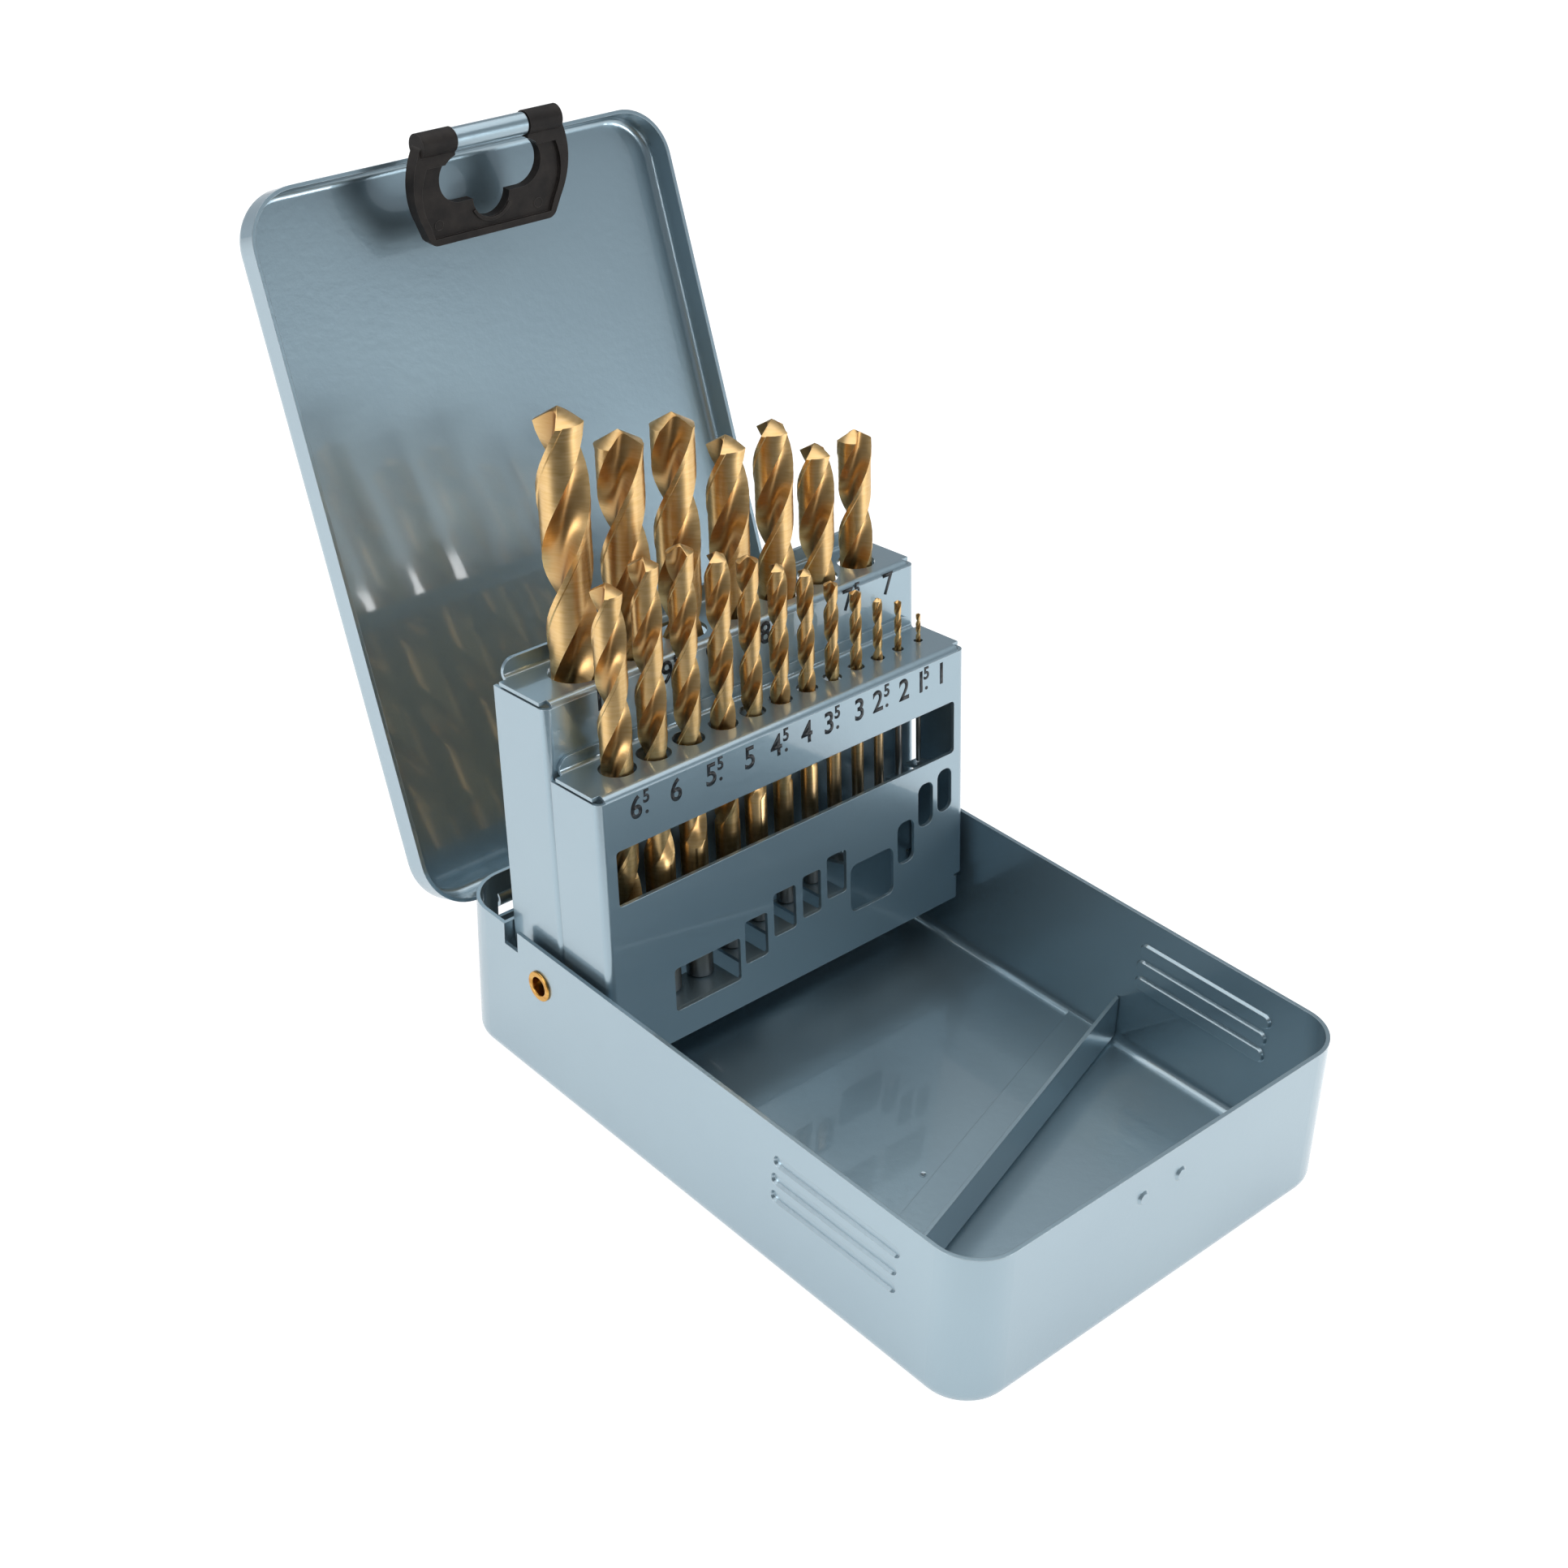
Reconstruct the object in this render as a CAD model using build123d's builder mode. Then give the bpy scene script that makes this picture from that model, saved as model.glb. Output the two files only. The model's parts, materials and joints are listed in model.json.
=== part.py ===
"""Folding sheet steel case for nineteen twist drills, standing open.

Units are millimetres. The origin is the centre of the base tray's underside, X runs
to the right along the drill rack, Y towards the hinge and Z up.
"""

import os
from math import cos, radians, sin, tan

from build123d import *

os.makedirs("parts", exist_ok=True)

# Sheet steel and fits; a cut runs past both faces by the overshoot
sheet = 0.8
fold = 1.6
running_fit = 0.05
seat_gap = 0.05
part_gap = 0.3
overshoot = 1.0

# Base tray
base_width = 100.0
base_length = 145.0
base_height = 33.5
base_corner = 9.5
base_fold = 3.0

# Pressed grip grooves in the side walls: distances below the rim and their front ends
groove_length = 32.0
groove_width = 2.6
groove_depth = 0.6
groove_taper = 30.0
groove_rows = ((7.4, 39.3), (11.6, 38.8), (15.6, 38.8))

# Latch dimples on the front wall, pressed a little left of its middle
dimple_offset = -2.8
dimple_spacing = 10.0
dimple_drop = 6.9
dimple_radius = 1.5
dimple_height = 0.5

# Lid
lid_gap = 0.9
lid_overlap = 1.8
lid_headroom = 4.6
lid_fold = 2.4
lid_open_angle = 111.5

# Hinge, seen from behind
hinge_drop = 7.2
hinge_setback = 1.1
hinge_spacing = 61.6
knuckle_length = 6.0
knuckle_radius = 1.9
knuckle_gap = 0.3
pin_radius = 1.0
pin_end = 0.2
window_below = 3.6
window_above = 2.3
window_side = 0.7

# Stop tab lanced out of the rear wall, under the open lid
lid_stop_width = 12.0
lid_stop_reach = 6.5

# Latch tab of the lid and the curl at its end
latch_width = 17.3
curl_drop = 12.4
curl_radius = 2.3
curl_slit = 0.5

# Hanger on the curl
hanger_thickness = 3.0
hanger_top_width = 34.0
hanger_waist_width = 37.8
hanger_foot_width = 34.2
hanger_foot_taper = 1.9
hanger_drop = 20.5
hanger_corner = 4.5
slot_width = 25.0
slot_drop = 12.8
slot_corner = 5.0
slot_bump_radius = 4.5
hanger_barrel_radius = 2.6
hanger_stub_radius = 1.4
hanger_stub_length = 4.5

# Divider, set at an angle across the tray
divider_angle = 17.25
divider_offset = 32.75
divider_height = 10.9
divider_foot = 11.6

# Drill rack: pivot in the base walls, then places in the rack's own frame
pivot_behind_centre = 45.3
pivot_drop = 8.7
rack_lean = 4.5
rack_width = 95.4
rack_step = 1.2
rack_step_height = -5.5
rack_slit = 0.6
front_face = -20.0
front_top = 48.0
front_bottom = -11.3
front_lip = 3.0
seam_face = -5.5
seam_gap_left = 0.3
seam_gap_right = 1.0
rear_edge = 10.4
rear_top = 62.4
rear_lip = 3.5
rear_bottom = -17.8
rear_seat_depth = 9.8
lip_corner = 2.6
front_row = -12.1
rear_row = 2.3
hole_play = 0.9
small_seat_height = -15.2
small_seat_depth = 8.5
small_seat_margin = 1.0
shelf_droop = 14.0
shelf_bend = 1.2
shelf_root = 2.0
window_corner = 0.8
arch_corner = 1.8

# Eyelets of the pivot
eyelet_radius = 2.4
eyelet_bore = 2.0
eyelet_flange_radius = 3.2
eyelet_flange = 0.5

# Back stop of the rack: notch in each side wall with one edge bent inwards
notch_depth = 4.7
notch_width = 4.3

# Windows in the front sheet: left, right, bottom, top, and how the shelf hangs. All places
# along the rack spread with its width, so that the long window keeps its margin at the right
long_window_margin = 3.1
long_window = (-44.2, 44.6, 24.1, 36.0)
rising_shelves = {
    "6": (-32.0, -15.2, -4.8, 4.9),
    "5": (-13.9, -7.9, -2.0, 7.8),
    "4.5": (-6.2, -0.2, 1.0, 10.9),
    "4": (1.6, 6.6, 2.0, 11.7),
    "3.5": (8.3, 13.7, 3.6, 13.4),
}
hanging_shelves = {
    "3": (14.8, 27.0, -2.4, 8.7),
    "2": (28.2, 33.0, 3.3, 13.1),
    "1.5": (34.2, 38.5, 9.8, 19.8),
    "1": (39.8, 43.9, 11.2, 21.1),
}

# Drills: diameter, place along the rack, length and, for the small ones, what each stands on
front_drills = (
    (6.5, -36.8, 101.0, "small seat"),
    (6.0, -28.0, 93.0, "6"),
    (5.5, -19.4, 93.0, "6"),
    (5.0, -10.7, 86.0, "5"),
    (4.5, -3.2, 80.0, "4.5"),
    (4.0, 4.1, 75.0, "4"),
    (3.5, 11.2, 70.0, "3.5"),
    (3.0, 18.0, 61.0, "3"),
    (2.5, 24.6, 57.0, "3"),
    (2.0, 30.6, 49.0, "2"),
    (1.5, 36.3, 40.0, "1.5"),
    (1.0, 42.1, 34.0, "1"),
)
rear_drills = (
    (10.0, -34.3, 133.0),
    (9.5, -21.0, 125.0),
    (9.0, -8.2, 125.0),
    (8.5, 4.7, 117.0),
    (8.0, 16.6, 117.0),
    (7.5, 27.7, 109.0),
    (7.0, 38.4, 109.0),
)
point_angle = 118.0
shank_chamfer = 0.08


def frame_leaning(y, z, lean):
    """Frame at (0, y, z) whose upright leans back by an angle in degrees."""
    upright = (0, sin(radians(lean)), cos(radians(lean)))
    return Plane(origin=(0, y, z), x_dir=(1, 0, 0), z_dir=upright)


def facing_front(frame, y):
    """Upright plane of a frame, seen from the front: x right, y up, normal forward."""
    return Plane(frame.from_local_coords((0, y, 0)), x_dir=frame.x_dir, z_dir=-frame.y_dir)


def facing_side(frame, x):
    """Upright plane across a frame: x backward, y up, normal to the right."""
    return Plane(frame.from_local_coords((x, 0, 0)), x_dir=frame.y_dir, z_dir=frame.x_dir)


def pan_block(plane, width, length, depth, corner, edge):
    """Solid with upright corners, its edge on the start plane rounded."""
    with BuildPart() as block:
        with BuildSketch(plane):
            RectangleRounded(width, length, corner)
        extrude(amount=depth)
        start_face = block.faces().sort_by(Axis(plane.origin, plane.z_dir))[0]
        fillet(start_face.edges(), edge)
    return block.part


def folded_sheet(plane, points, bends, side, width):
    """Inside a part: sheet folded along points, which run on one of its faces, and extruded."""
    with BuildSketch(plane) as profile:
        with BuildLine():
            FilletPolyline(*points, radius=bends)
            offset(amount=sheet, side=side)
        make_face()
    extrude(profile.sketch, amount=width)


def channel(frame, low, high, half_width, face, back_left, back_right):
    """Inside a part: panel with both sides folded back, from height low to high."""
    corners = ((-half_width, back_left), (-half_width, face), (half_width, face), (half_width, back_right))
    folded_sheet(frame.offset(low), corners, fold, Side.LEFT, high - low)


def block_between(frame, left, right, front, back, low, high, mode=Mode.ADD):
    """Inside a part: box between six sides given in a frame."""
    with BuildSketch(frame.offset(low)) as outline:
        with Locations(((left + right) / 2, (front + back) / 2)):
            Rectangle(right - left, back - front)
    extrude(outline.sketch, amount=high - low, mode=mode)


def spread_window(window):
    """Sides of a window on the rack as wide as it is: left, right, bottom, top."""
    left, right, low, high = window
    return left * row_spread, right * row_spread, low, high


# Frames of the moving pieces
world = Plane.XY
hinge_y = base_length / 2 + hinge_setback
hinge_z = base_height - hinge_drop
pivot_z = base_height - pivot_drop
lid_frame = frame_leaning(hinge_y, hinge_z, lid_open_angle)
rack_frame = frame_leaning(pivot_behind_centre, pivot_z, rack_lean)

# Hinge stations along X: one base knuckle between two lid knuckles on each side
hinge_centres = (-hinge_spacing / 2, hinge_spacing / 2)
knuckle_pitch = knuckle_length + knuckle_gap
lid_knuckle_places = [x + step for x in hinge_centres for step in (-knuckle_pitch, knuckle_pitch)]
knuckle_bore = pin_radius + running_fit

# Spread of the places along the rack
row_spread = (rack_width / 2 - long_window_margin) / long_window[1]

# Directions of the leaning rack, and the droop of its hanging shelves
rack_up = Axis(rack_frame.origin, rack_frame.z_dir)
rack_y = Axis(rack_frame.origin, rack_frame.y_dir)
droop = radians(shelf_droop)

# Base tray ------------------------------------------------------------------------
base_outer = pan_block(world, base_width, base_length, base_height, base_corner, base_fold)
inner_width = base_width - 2 * sheet
inner_length = base_length - 2 * sheet
inner_corner = base_corner - sheet
inner_fold = base_fold - sheet
base_inner = pan_block(world.offset(sheet), inner_width, inner_length, base_height, inner_corner, inner_fold)
front_wall = facing_front(world, -base_length / 2)
rack_half = rack_width / 2
stop_height = base_height - notch_depth
# The rack's rear edge at rim height, where it leans on the bent edge of the notch
lean = radians(rack_lean)
rear_edge_rise = (pivot_drop + rear_edge * sin(lean)) / cos(lean)
stop_face = pivot_behind_centre + rear_edge * cos(lean) + rear_edge_rise * sin(lean) + part_gap
stop_reach = rack_half - rack_step + part_gap
# The lid's rear flange rests just above the stop tab's end when the lid is open
tilt = radians(lid_open_angle)
flange_back = lid_gap + sheet - hinge_setback
flange_run = (lid_stop_reach - hinge_setback - flange_back * cos(tilt)) / sin(tilt)
lid_stop_height = hinge_z - flange_back * sin(tilt) + flange_run * cos(tilt) - part_gap
# Cuts through the rear wall
cut_front = base_length / 2 - sheet - overshoot
cut_back = base_length / 2 + overshoot

with BuildPart() as base_tray:
    add(base_outer)
    add(base_inner, mode=Mode.SUBTRACT)
    for wall in (-1, 1):
        for drop, forward in groove_rows:
            place = (-forward, base_height - drop)
            inner_side = facing_side(world, wall * (base_width / 2 - sheet))
            outer_side = facing_side(world, wall * base_width / 2)
            with BuildSketch(inner_side):
                with Locations(place):
                    SlotOverall(groove_length + sheet, groove_width + sheet)
            extrude(amount=-wall * groove_depth, taper=groove_taper)
            with BuildSketch(outer_side):
                with Locations(place):
                    SlotOverall(groove_length, groove_width)
            extrude(amount=-wall * groove_depth, taper=groove_taper, mode=Mode.SUBTRACT)
    # Notches, each with its rear edge bent inwards as the rack's back stop
    for wall in (-1, 1):
        outside = wall * (base_width / 2 + overshoot)
        inside = wall * (base_width / 2 - sheet)
        left, right = sorted((outside, inside))
        notch_front = stop_face - notch_width
        notch_top = base_height + overshoot
        block_between(world, left, right, notch_front, stop_face, stop_height, notch_top, Mode.SUBTRACT)
        left, right = sorted((wall * stop_reach, wall * base_width / 2))
        block_between(world, left, right, stop_face, stop_face + sheet, stop_height, base_height)
        # Hole for the eyelet
        with BuildSketch(facing_side(world, 0)):
            with Locations((pivot_behind_centre, pivot_z)):
                Circle(eyelet_radius)
        extrude(amount=wall * base_width, mode=Mode.SUBTRACT)
    # Latch dimples
    for side in (-1, 1):
        dimple_x = dimple_offset + side * dimple_spacing / 2
        with BuildSketch(front_wall):
            with Locations((dimple_x, base_height - dimple_drop)):
                Circle(dimple_radius)
        extrude(amount=dimple_height, taper=45)
    # Windows in the rear wall for the hinge knuckles, below a rim strip left whole
    for centre in lid_knuckle_places:
        half = knuckle_length / 2 + window_side
        low = hinge_z - window_below
        high = hinge_z + window_above
        block_between(world, centre - half, centre + half, cut_front, cut_back, low, high, Mode.SUBTRACT)
    for centre in hinge_centres:
        half = knuckle_pitch
        low = hinge_z
        high = hinge_z + window_above
        block_between(world, centre - half, centre + half, cut_front, cut_back, low, high, Mode.SUBTRACT)
        # Rolled knuckle
        with BuildSketch(facing_side(world, centre - knuckle_length / 2)):
            with Locations((hinge_y, hinge_z)):
                Circle(knuckle_radius)
                Circle(knuckle_bore, mode=Mode.SUBTRACT)
        extrude(amount=knuckle_length)
    # Stop tab for the lid, lanced out of the wall and bent back, with its hole below
    half = lid_stop_width / 2
    tab_line = (
        (base_length / 2, lid_stop_height + 2 * sheet),
        (base_length / 2, lid_stop_height),
        (base_length / 2 + lid_stop_reach, lid_stop_height),
    )
    folded_sheet(facing_side(world, -half), tab_line, 0, Side.RIGHT, lid_stop_width)
    hole_low = lid_stop_height - sheet - lid_stop_reach
    hole_high = lid_stop_height - sheet
    block_between(world, -half, half, cut_front, cut_back, hole_low, hole_high, Mode.SUBTRACT)
base_tray.part.label = "base_tray"
export_step(base_tray.part, "parts/base_tray.step")

# Divider --------------------------------------------------------------------------
# Its own frame runs along the foot line, with the foot behind the upright
turn = radians(divider_angle)
divider_origin = (divider_offset * sin(turn), -divider_offset * cos(turn), sheet)
divider_frame = Plane(origin=divider_origin, x_dir=(cos(turn), sin(turn), 0), z_dir=(0, 0, 1))
room_plane = world.offset(sheet - seat_gap)
room_width = inner_width - 2 * part_gap
room_length = inner_length - 2 * part_gap
room = pan_block(room_plane, room_width, room_length, base_height, inner_corner, inner_fold)

with BuildPart() as divider:
    upright_line = ((0, divider_height), (0, 0), (divider_foot, 0))
    folded_sheet(facing_side(divider_frame, -base_width), upright_line, fold, Side.LEFT, 2 * base_width)
    add(room, mode=Mode.INTERSECT)
divider.part.label = "divider"
export_step(divider.part, "parts/divider.step")

# Hinge pins -----------------------------------------------------------------------
pin_length = 3 * knuckle_length + 2 * knuckle_gap + 2 * pin_end
with BuildPart() as hinge_pin_left:
    with BuildSketch(facing_side(world, hinge_centres[0] - pin_length / 2)):
        with Locations((hinge_y, hinge_z)):
            Circle(pin_radius)
    extrude(amount=pin_length)
hinge_pin_left.part.label = "hinge_pin_left"
export_step(hinge_pin_left.part, "parts/hinge_pin_left.step")

with BuildPart() as hinge_pin_right:
    mirror(hinge_pin_left.part, about=Plane.YZ)
hinge_pin_right.part.label = "hinge_pin_right"
export_step(hinge_pin_right.part, "parts/hinge_pin_right.step")

# Lid ------------------------------------------------------------------------------
# Places are those of the closed lid, taken from the hinge axis
lid_skirt = lid_gap + sheet
lid_width = base_width + 2 * lid_skirt
lid_length = base_length + 2 * lid_skirt
lid_rim = hinge_drop - lid_overlap
lid_inside = hinge_drop + lid_headroom
lid_top = lid_inside + sheet
lid_down = -lid_frame.z_dir
lid_middle = -hinge_y
lid_corner = base_corner + lid_skirt
top_centre = lid_frame.from_local_coords((0, lid_middle, lid_top))
top_plane = Plane(top_centre, x_dir=(1, 0, 0), z_dir=lid_down)
inside_centre = lid_frame.from_local_coords((0, lid_middle, lid_inside))
inside_plane = Plane(inside_centre, x_dir=(1, 0, 0), z_dir=lid_down)
lid_outer = pan_block(top_plane, lid_width, lid_length, lid_top - lid_rim, lid_corner, lid_fold)
lid_inner = pan_block(
    inside_plane,
    lid_width - 2 * sheet,
    lid_length - 2 * sheet,
    lid_top - lid_rim,
    lid_corner - sheet,
    lid_fold - sheet,
)
skirt_front = lid_middle - lid_length / 2
skirt_back = lid_middle + lid_length / 2
curl_y = skirt_front + sheet - curl_radius
curl_z = hinge_drop - curl_drop
strap_top = lid_rim + sheet

with BuildPart() as lid:
    add(lid_outer)
    add(lid_inner, mode=Mode.SUBTRACT)
    # Hinge straps with rolled knuckles
    for centre in lid_knuckle_places:
        left = centre - knuckle_length / 2
        right = centre + knuckle_length / 2
        strap_low = knuckle_bore + sheet / 2
        block_between(lid_frame, left, right, skirt_back - sheet, skirt_back, strap_low, strap_top)
        with BuildSketch(facing_side(lid_frame, left)):
            Circle(knuckle_radius)
            Circle(knuckle_bore, mode=Mode.SUBTRACT)
        extrude(amount=knuckle_length)
    # Latch tab with the curl that snaps under the dimples
    half = latch_width / 2
    block_between(lid_frame, -half, half, skirt_front, skirt_front + sheet, curl_z, strap_top)
    with BuildSketch(facing_side(lid_frame, -half)):
        with Locations((curl_y, curl_z)):
            Circle(curl_radius)
            Circle(curl_radius - sheet, mode=Mode.SUBTRACT)
        with Locations((skirt_front - curl_slit / 2, curl_z + curl_radius)):
            Rectangle(curl_slit, 2 * curl_radius, mode=Mode.SUBTRACT)
    extrude(amount=latch_width)
lid.part.label = "lid"
export_step(lid.part, "parts/lid.step")

# Hanger ---------------------------------------------------------------------------
# It hangs plumb from the curl; the origin of its frame is the curl's axis
curl_axis = lid_frame.from_local_coords((0, curl_y, curl_z))
hanger_frame = Plane(origin=curl_axis, x_dir=(1, 0, 0), z_dir=(0, 0, 1))
top_half = hanger_top_width / 2
waist_half = hanger_waist_width / 2
foot_half = hanger_foot_width / 2
foot_end = foot_half - hanger_foot_taper
foot_start = -hanger_drop + hanger_corner
barrel_start = latch_width / 2 + part_gap

with BuildPart() as hanger:
    with BuildSketch(facing_front(hanger_frame, hanger_thickness / 2)):
        with BuildLine():
            ThreePointArc((-top_half, 0), (-waist_half, -hanger_drop / 2), (-foot_half, foot_start))
            Line((-foot_half, foot_start), (-foot_end, -hanger_drop))
            Line((-foot_end, -hanger_drop), (foot_end, -hanger_drop))
            Line((foot_end, -hanger_drop), (foot_half, foot_start))
            ThreePointArc((foot_half, foot_start), (waist_half, -hanger_drop / 2), (top_half, 0))
            Line((top_half, 0), (-top_half, 0))
        make_face()
    extrude(amount=hanger_thickness)
    lower_corners = hanger.edges().filter_by(Axis.Y).group_by(Axis.Z)[0]
    fillet(lower_corners, hanger_corner / 2)
    # Slot with straight shoulders and a round bump below, and room for the curl above
    with BuildSketch(facing_front(hanger_frame, hanger_thickness)):
        with Locations((0, -(slot_drop + hanger_barrel_radius) / 2)):
            slot_body = Rectangle(slot_width, slot_drop - hanger_barrel_radius)
        fillet(slot_body.vertices(), slot_corner)
        with Locations((0, -slot_drop)):
            Circle(slot_bump_radius)
        Rectangle(2 * barrel_start, 2 * (hanger_barrel_radius + overshoot))
    extrude(amount=2 * hanger_thickness, mode=Mode.SUBTRACT)
    # Barrels at the top, each with a stub pin that reaches into the curl
    for side in (-1, 1):
        with BuildSketch(facing_side(hanger_frame, side * barrel_start)):
            Circle(hanger_barrel_radius)
        extrude(amount=side * (top_half - barrel_start))
        with BuildSketch(facing_side(hanger_frame, side * barrel_start)):
            Circle(hanger_stub_radius)
        extrude(amount=-side * (hanger_stub_length + part_gap))
hanger.part.label = "hanger"
export_step(hanger.part, "parts/hanger.step")

# Rear sheet of the rack -----------------------------------------------------------
# Places are given in the rack's frame, whose origin is the pivot
rack_low_half = rack_half - rack_step
flange_slit = part_gap
plate_margin = 0.2
relief = fold + part_gap
top_start = facing_side(rack_frame, -rack_half + relief)
rear_flange_top = rear_top - sheet - flange_slit
lip_bends = (fold, fold - sheet)

with BuildPart() as holder_rear:
    # Wide upper channel, narrower lower one, and the panel through both
    channel(rack_frame, rack_step_height, rear_flange_top, rack_half, seam_face, rear_edge, rear_edge)
    low_top = rack_step_height - rack_slit
    low_bottom = rear_bottom + flange_slit
    channel(rack_frame, low_bottom, low_top, rack_low_half, seam_face, rear_edge, rear_edge)
    panel_half = rack_low_half - fold
    panel_back = seam_face + sheet
    panel_low = rear_bottom + fold
    panel_high = rear_top - fold
    block_between(rack_frame, -panel_half, panel_half, seam_face, panel_back, panel_low, panel_high)
    # Top plate with its upright lip
    top_line = (
        (seam_face, rear_top - 2 * fold),
        (seam_face, rear_top),
        (rear_edge - sheet, rear_top),
        (rear_edge - sheet, rear_top + rear_lip),
    )
    folded_sheet(top_start, top_line, lip_bends, Side.RIGHT, 2 * (rack_half - relief))
    lip_edges = holder_rear.edges().filter_by(rack_y).sort_by(rack_up)[-2:]
    fillet(lip_edges, lip_corner)
    plate_half = rack_half - plate_margin
    plate_front = seam_face + relief
    plate_back = rear_edge - fold
    plate_low = rear_top - sheet
    block_between(rack_frame, -plate_half, plate_half, plate_front, plate_back, plate_low, rear_top)
    # Bottom plate for the large drills
    bottom_line = (
        (seam_face, rear_bottom + 2 * fold),
        (seam_face, rear_bottom - sheet),
        (rear_seat_depth, rear_bottom - sheet),
    )
    folded_sheet(facing_side(rack_frame, -panel_half), bottom_line, fold, Side.LEFT, 2 * panel_half)
    # Shelf lanced forward for the largest small drill
    small_x = front_drills[0][1] * row_spread
    small_half = front_drills[0][0] / 2 + small_seat_margin
    shelf_top = small_seat_height + small_seat_depth
    block_between(
        rack_frame,
        small_x - small_half,
        small_x + small_half,
        seam_face - overshoot,
        panel_back + overshoot,
        small_seat_height,
        shelf_top,
        Mode.SUBTRACT,
    )
    block_between(
        rack_frame,
        small_x - small_half,
        small_x + small_half,
        seam_face - small_seat_depth,
        panel_back,
        small_seat_height - sheet,
        small_seat_height,
    )
    # Holes for the drills and for the eyelets
    with BuildSketch(rack_frame.offset(rear_top + overshoot)):
        for diameter, x, length in rear_drills:
            with Locations((x * row_spread, rear_row)):
                Circle((diameter + hole_play) / 2)
    extrude(amount=-sheet - 2 * overshoot, mode=Mode.SUBTRACT)
    with BuildSketch(facing_side(rack_frame, -rack_half - overshoot)):
        Circle(eyelet_radius + running_fit)
    extrude(amount=rack_width + 2 * overshoot, mode=Mode.SUBTRACT)
holder_rear.part.label = "holder_rear"
export_step(holder_rear.part, "parts/holder_rear.step")

# Front sheet of the rack ----------------------------------------------------------
front_plane = facing_front(rack_frame, front_face)
front_flange_top = front_top - sheet - flange_slit

with BuildPart() as holder_front:
    back_left = seam_face - seam_gap_left
    back_right = seam_face - seam_gap_right
    channel(rack_frame, rack_step_height, front_flange_top, rack_half, front_face, back_left, back_right)
    low_top = rack_step_height - rack_slit
    channel(rack_frame, front_bottom, low_top, rack_low_half, front_face, back_left, back_right)
    panel_back = front_face + sheet
    block_between(rack_frame, -panel_half, panel_half, front_face, panel_back, front_bottom, front_top - fold)
    # Top plate; its lip stands flat against the rear sheet
    top_line = (
        (front_face, front_top - 2 * fold),
        (front_face, front_top),
        (seam_face - sheet, front_top),
        (seam_face - sheet, front_top + front_lip),
    )
    folded_sheet(top_start, top_line, lip_bends, Side.RIGHT, 2 * (rack_half - relief))
    lip_edges = holder_front.edges().filter_by(rack_y).sort_by(rack_up)[-2:]
    fillet(lip_edges, lip_corner)
    plate_front = front_face + relief
    plate_back = seam_face - fold
    plate_low = front_top - sheet
    block_between(rack_frame, -plate_half, plate_half, plate_front, plate_back, plate_low, front_top)
    with BuildSketch(rack_frame.offset(front_top + overshoot)):
        for diameter, x, length, seat in front_drills:
            with Locations((x * row_spread, front_row)):
                Circle((diameter + hole_play) / 2)
    extrude(amount=-sheet - 2 * overshoot, mode=Mode.SUBTRACT)
    # Windows: one long one, those above rising shelves and those below hanging ones
    with BuildSketch(front_plane):
        left, right, low, high = spread_window(long_window)
        with Locations(((left + right) / 2, (low + high) / 2)):
            RectangleRounded(right - left, high - low, window_corner)
        for window in rising_shelves.values():
            left, right, low, high = spread_window(window)
            with Locations(((left + right) / 2, (low + high) / 2)):
                opening = Rectangle(right - left, high - low)
            fillet(opening.vertices().group_by(Axis.Z)[-1], window_corner)
        for window in hanging_shelves.values():
            left, right, low, high = spread_window(window)
            with Locations(((left + right) / 2, (low + high) / 2)):
                opening = Rectangle(right - left, high - low)
            fillet(opening.vertices().group_by(Axis.Z)[0], arch_corner)
    extrude(amount=-sheet, mode=Mode.SUBTRACT)
    for window in rising_shelves.values():
        left, right, low, high = spread_window(window)
        shelf_start = facing_side(rack_frame, left + plate_margin)
        width = right - left - 2 * plate_margin
        shelf_line = ((front_face, low - shelf_root), (front_face, low), (front_face + high - low, low))
        folded_sheet(shelf_start, shelf_line, shelf_bend, Side.RIGHT, width)
    for window in hanging_shelves.values():
        left, right, low, high = spread_window(window)
        shelf_start = facing_side(rack_frame, left + plate_margin)
        width = right - left - 2 * plate_margin
        reach = high - low
        end = (front_face + reach * cos(droop), high - reach * sin(droop))
        shelf_line = ((front_face, high + shelf_root), (front_face, high), end)
        folded_sheet(shelf_start, shelf_line, shelf_bend, Side.LEFT, width)
holder_front.part.label = "holder_front"
export_step(holder_front.part, "parts/holder_front.step")

# Eyelets --------------------------------------------------------------------------
# Each barrel runs from its outer flange through both sheets to its rolled inner end
eyelet_inner_end = rack_half - sheet - part_gap
with BuildPart() as eyelet_right:
    spans = (
        (base_width / 2, eyelet_flange, eyelet_flange_radius),
        (eyelet_inner_end, base_width / 2 - eyelet_inner_end, eyelet_radius),
        (eyelet_inner_end - eyelet_flange, eyelet_flange, eyelet_flange_radius),
    )
    for start, width, radius in spans:
        with BuildSketch(facing_side(world, start)):
            with Locations((pivot_behind_centre, pivot_z)):
                Circle(radius)
                Circle(eyelet_bore, mode=Mode.SUBTRACT)
        extrude(amount=width)
    fillet(eyelet_right.faces().sort_by(Axis.X)[-1].edges(), eyelet_flange / 2)
eyelet_right.part.label = "eyelet_right"
export_step(eyelet_right.part, "parts/eyelet_right.step")

with BuildPart() as eyelet_left:
    mirror(eyelet_right.part, about=Plane.YZ)
eyelet_left.part.label = "eyelet_left"
export_step(eyelet_left.part, "parts/eyelet_left.step")

# Drills ---------------------------------------------------------------------------


def hanging_seat(window, diameter):
    """Height of a hanging shelf under the front edge of a drill's foot."""
    back = front_row - diameter / 2 - front_face
    return window[3] + sheet / cos(droop) - back * tan(droop)


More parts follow.
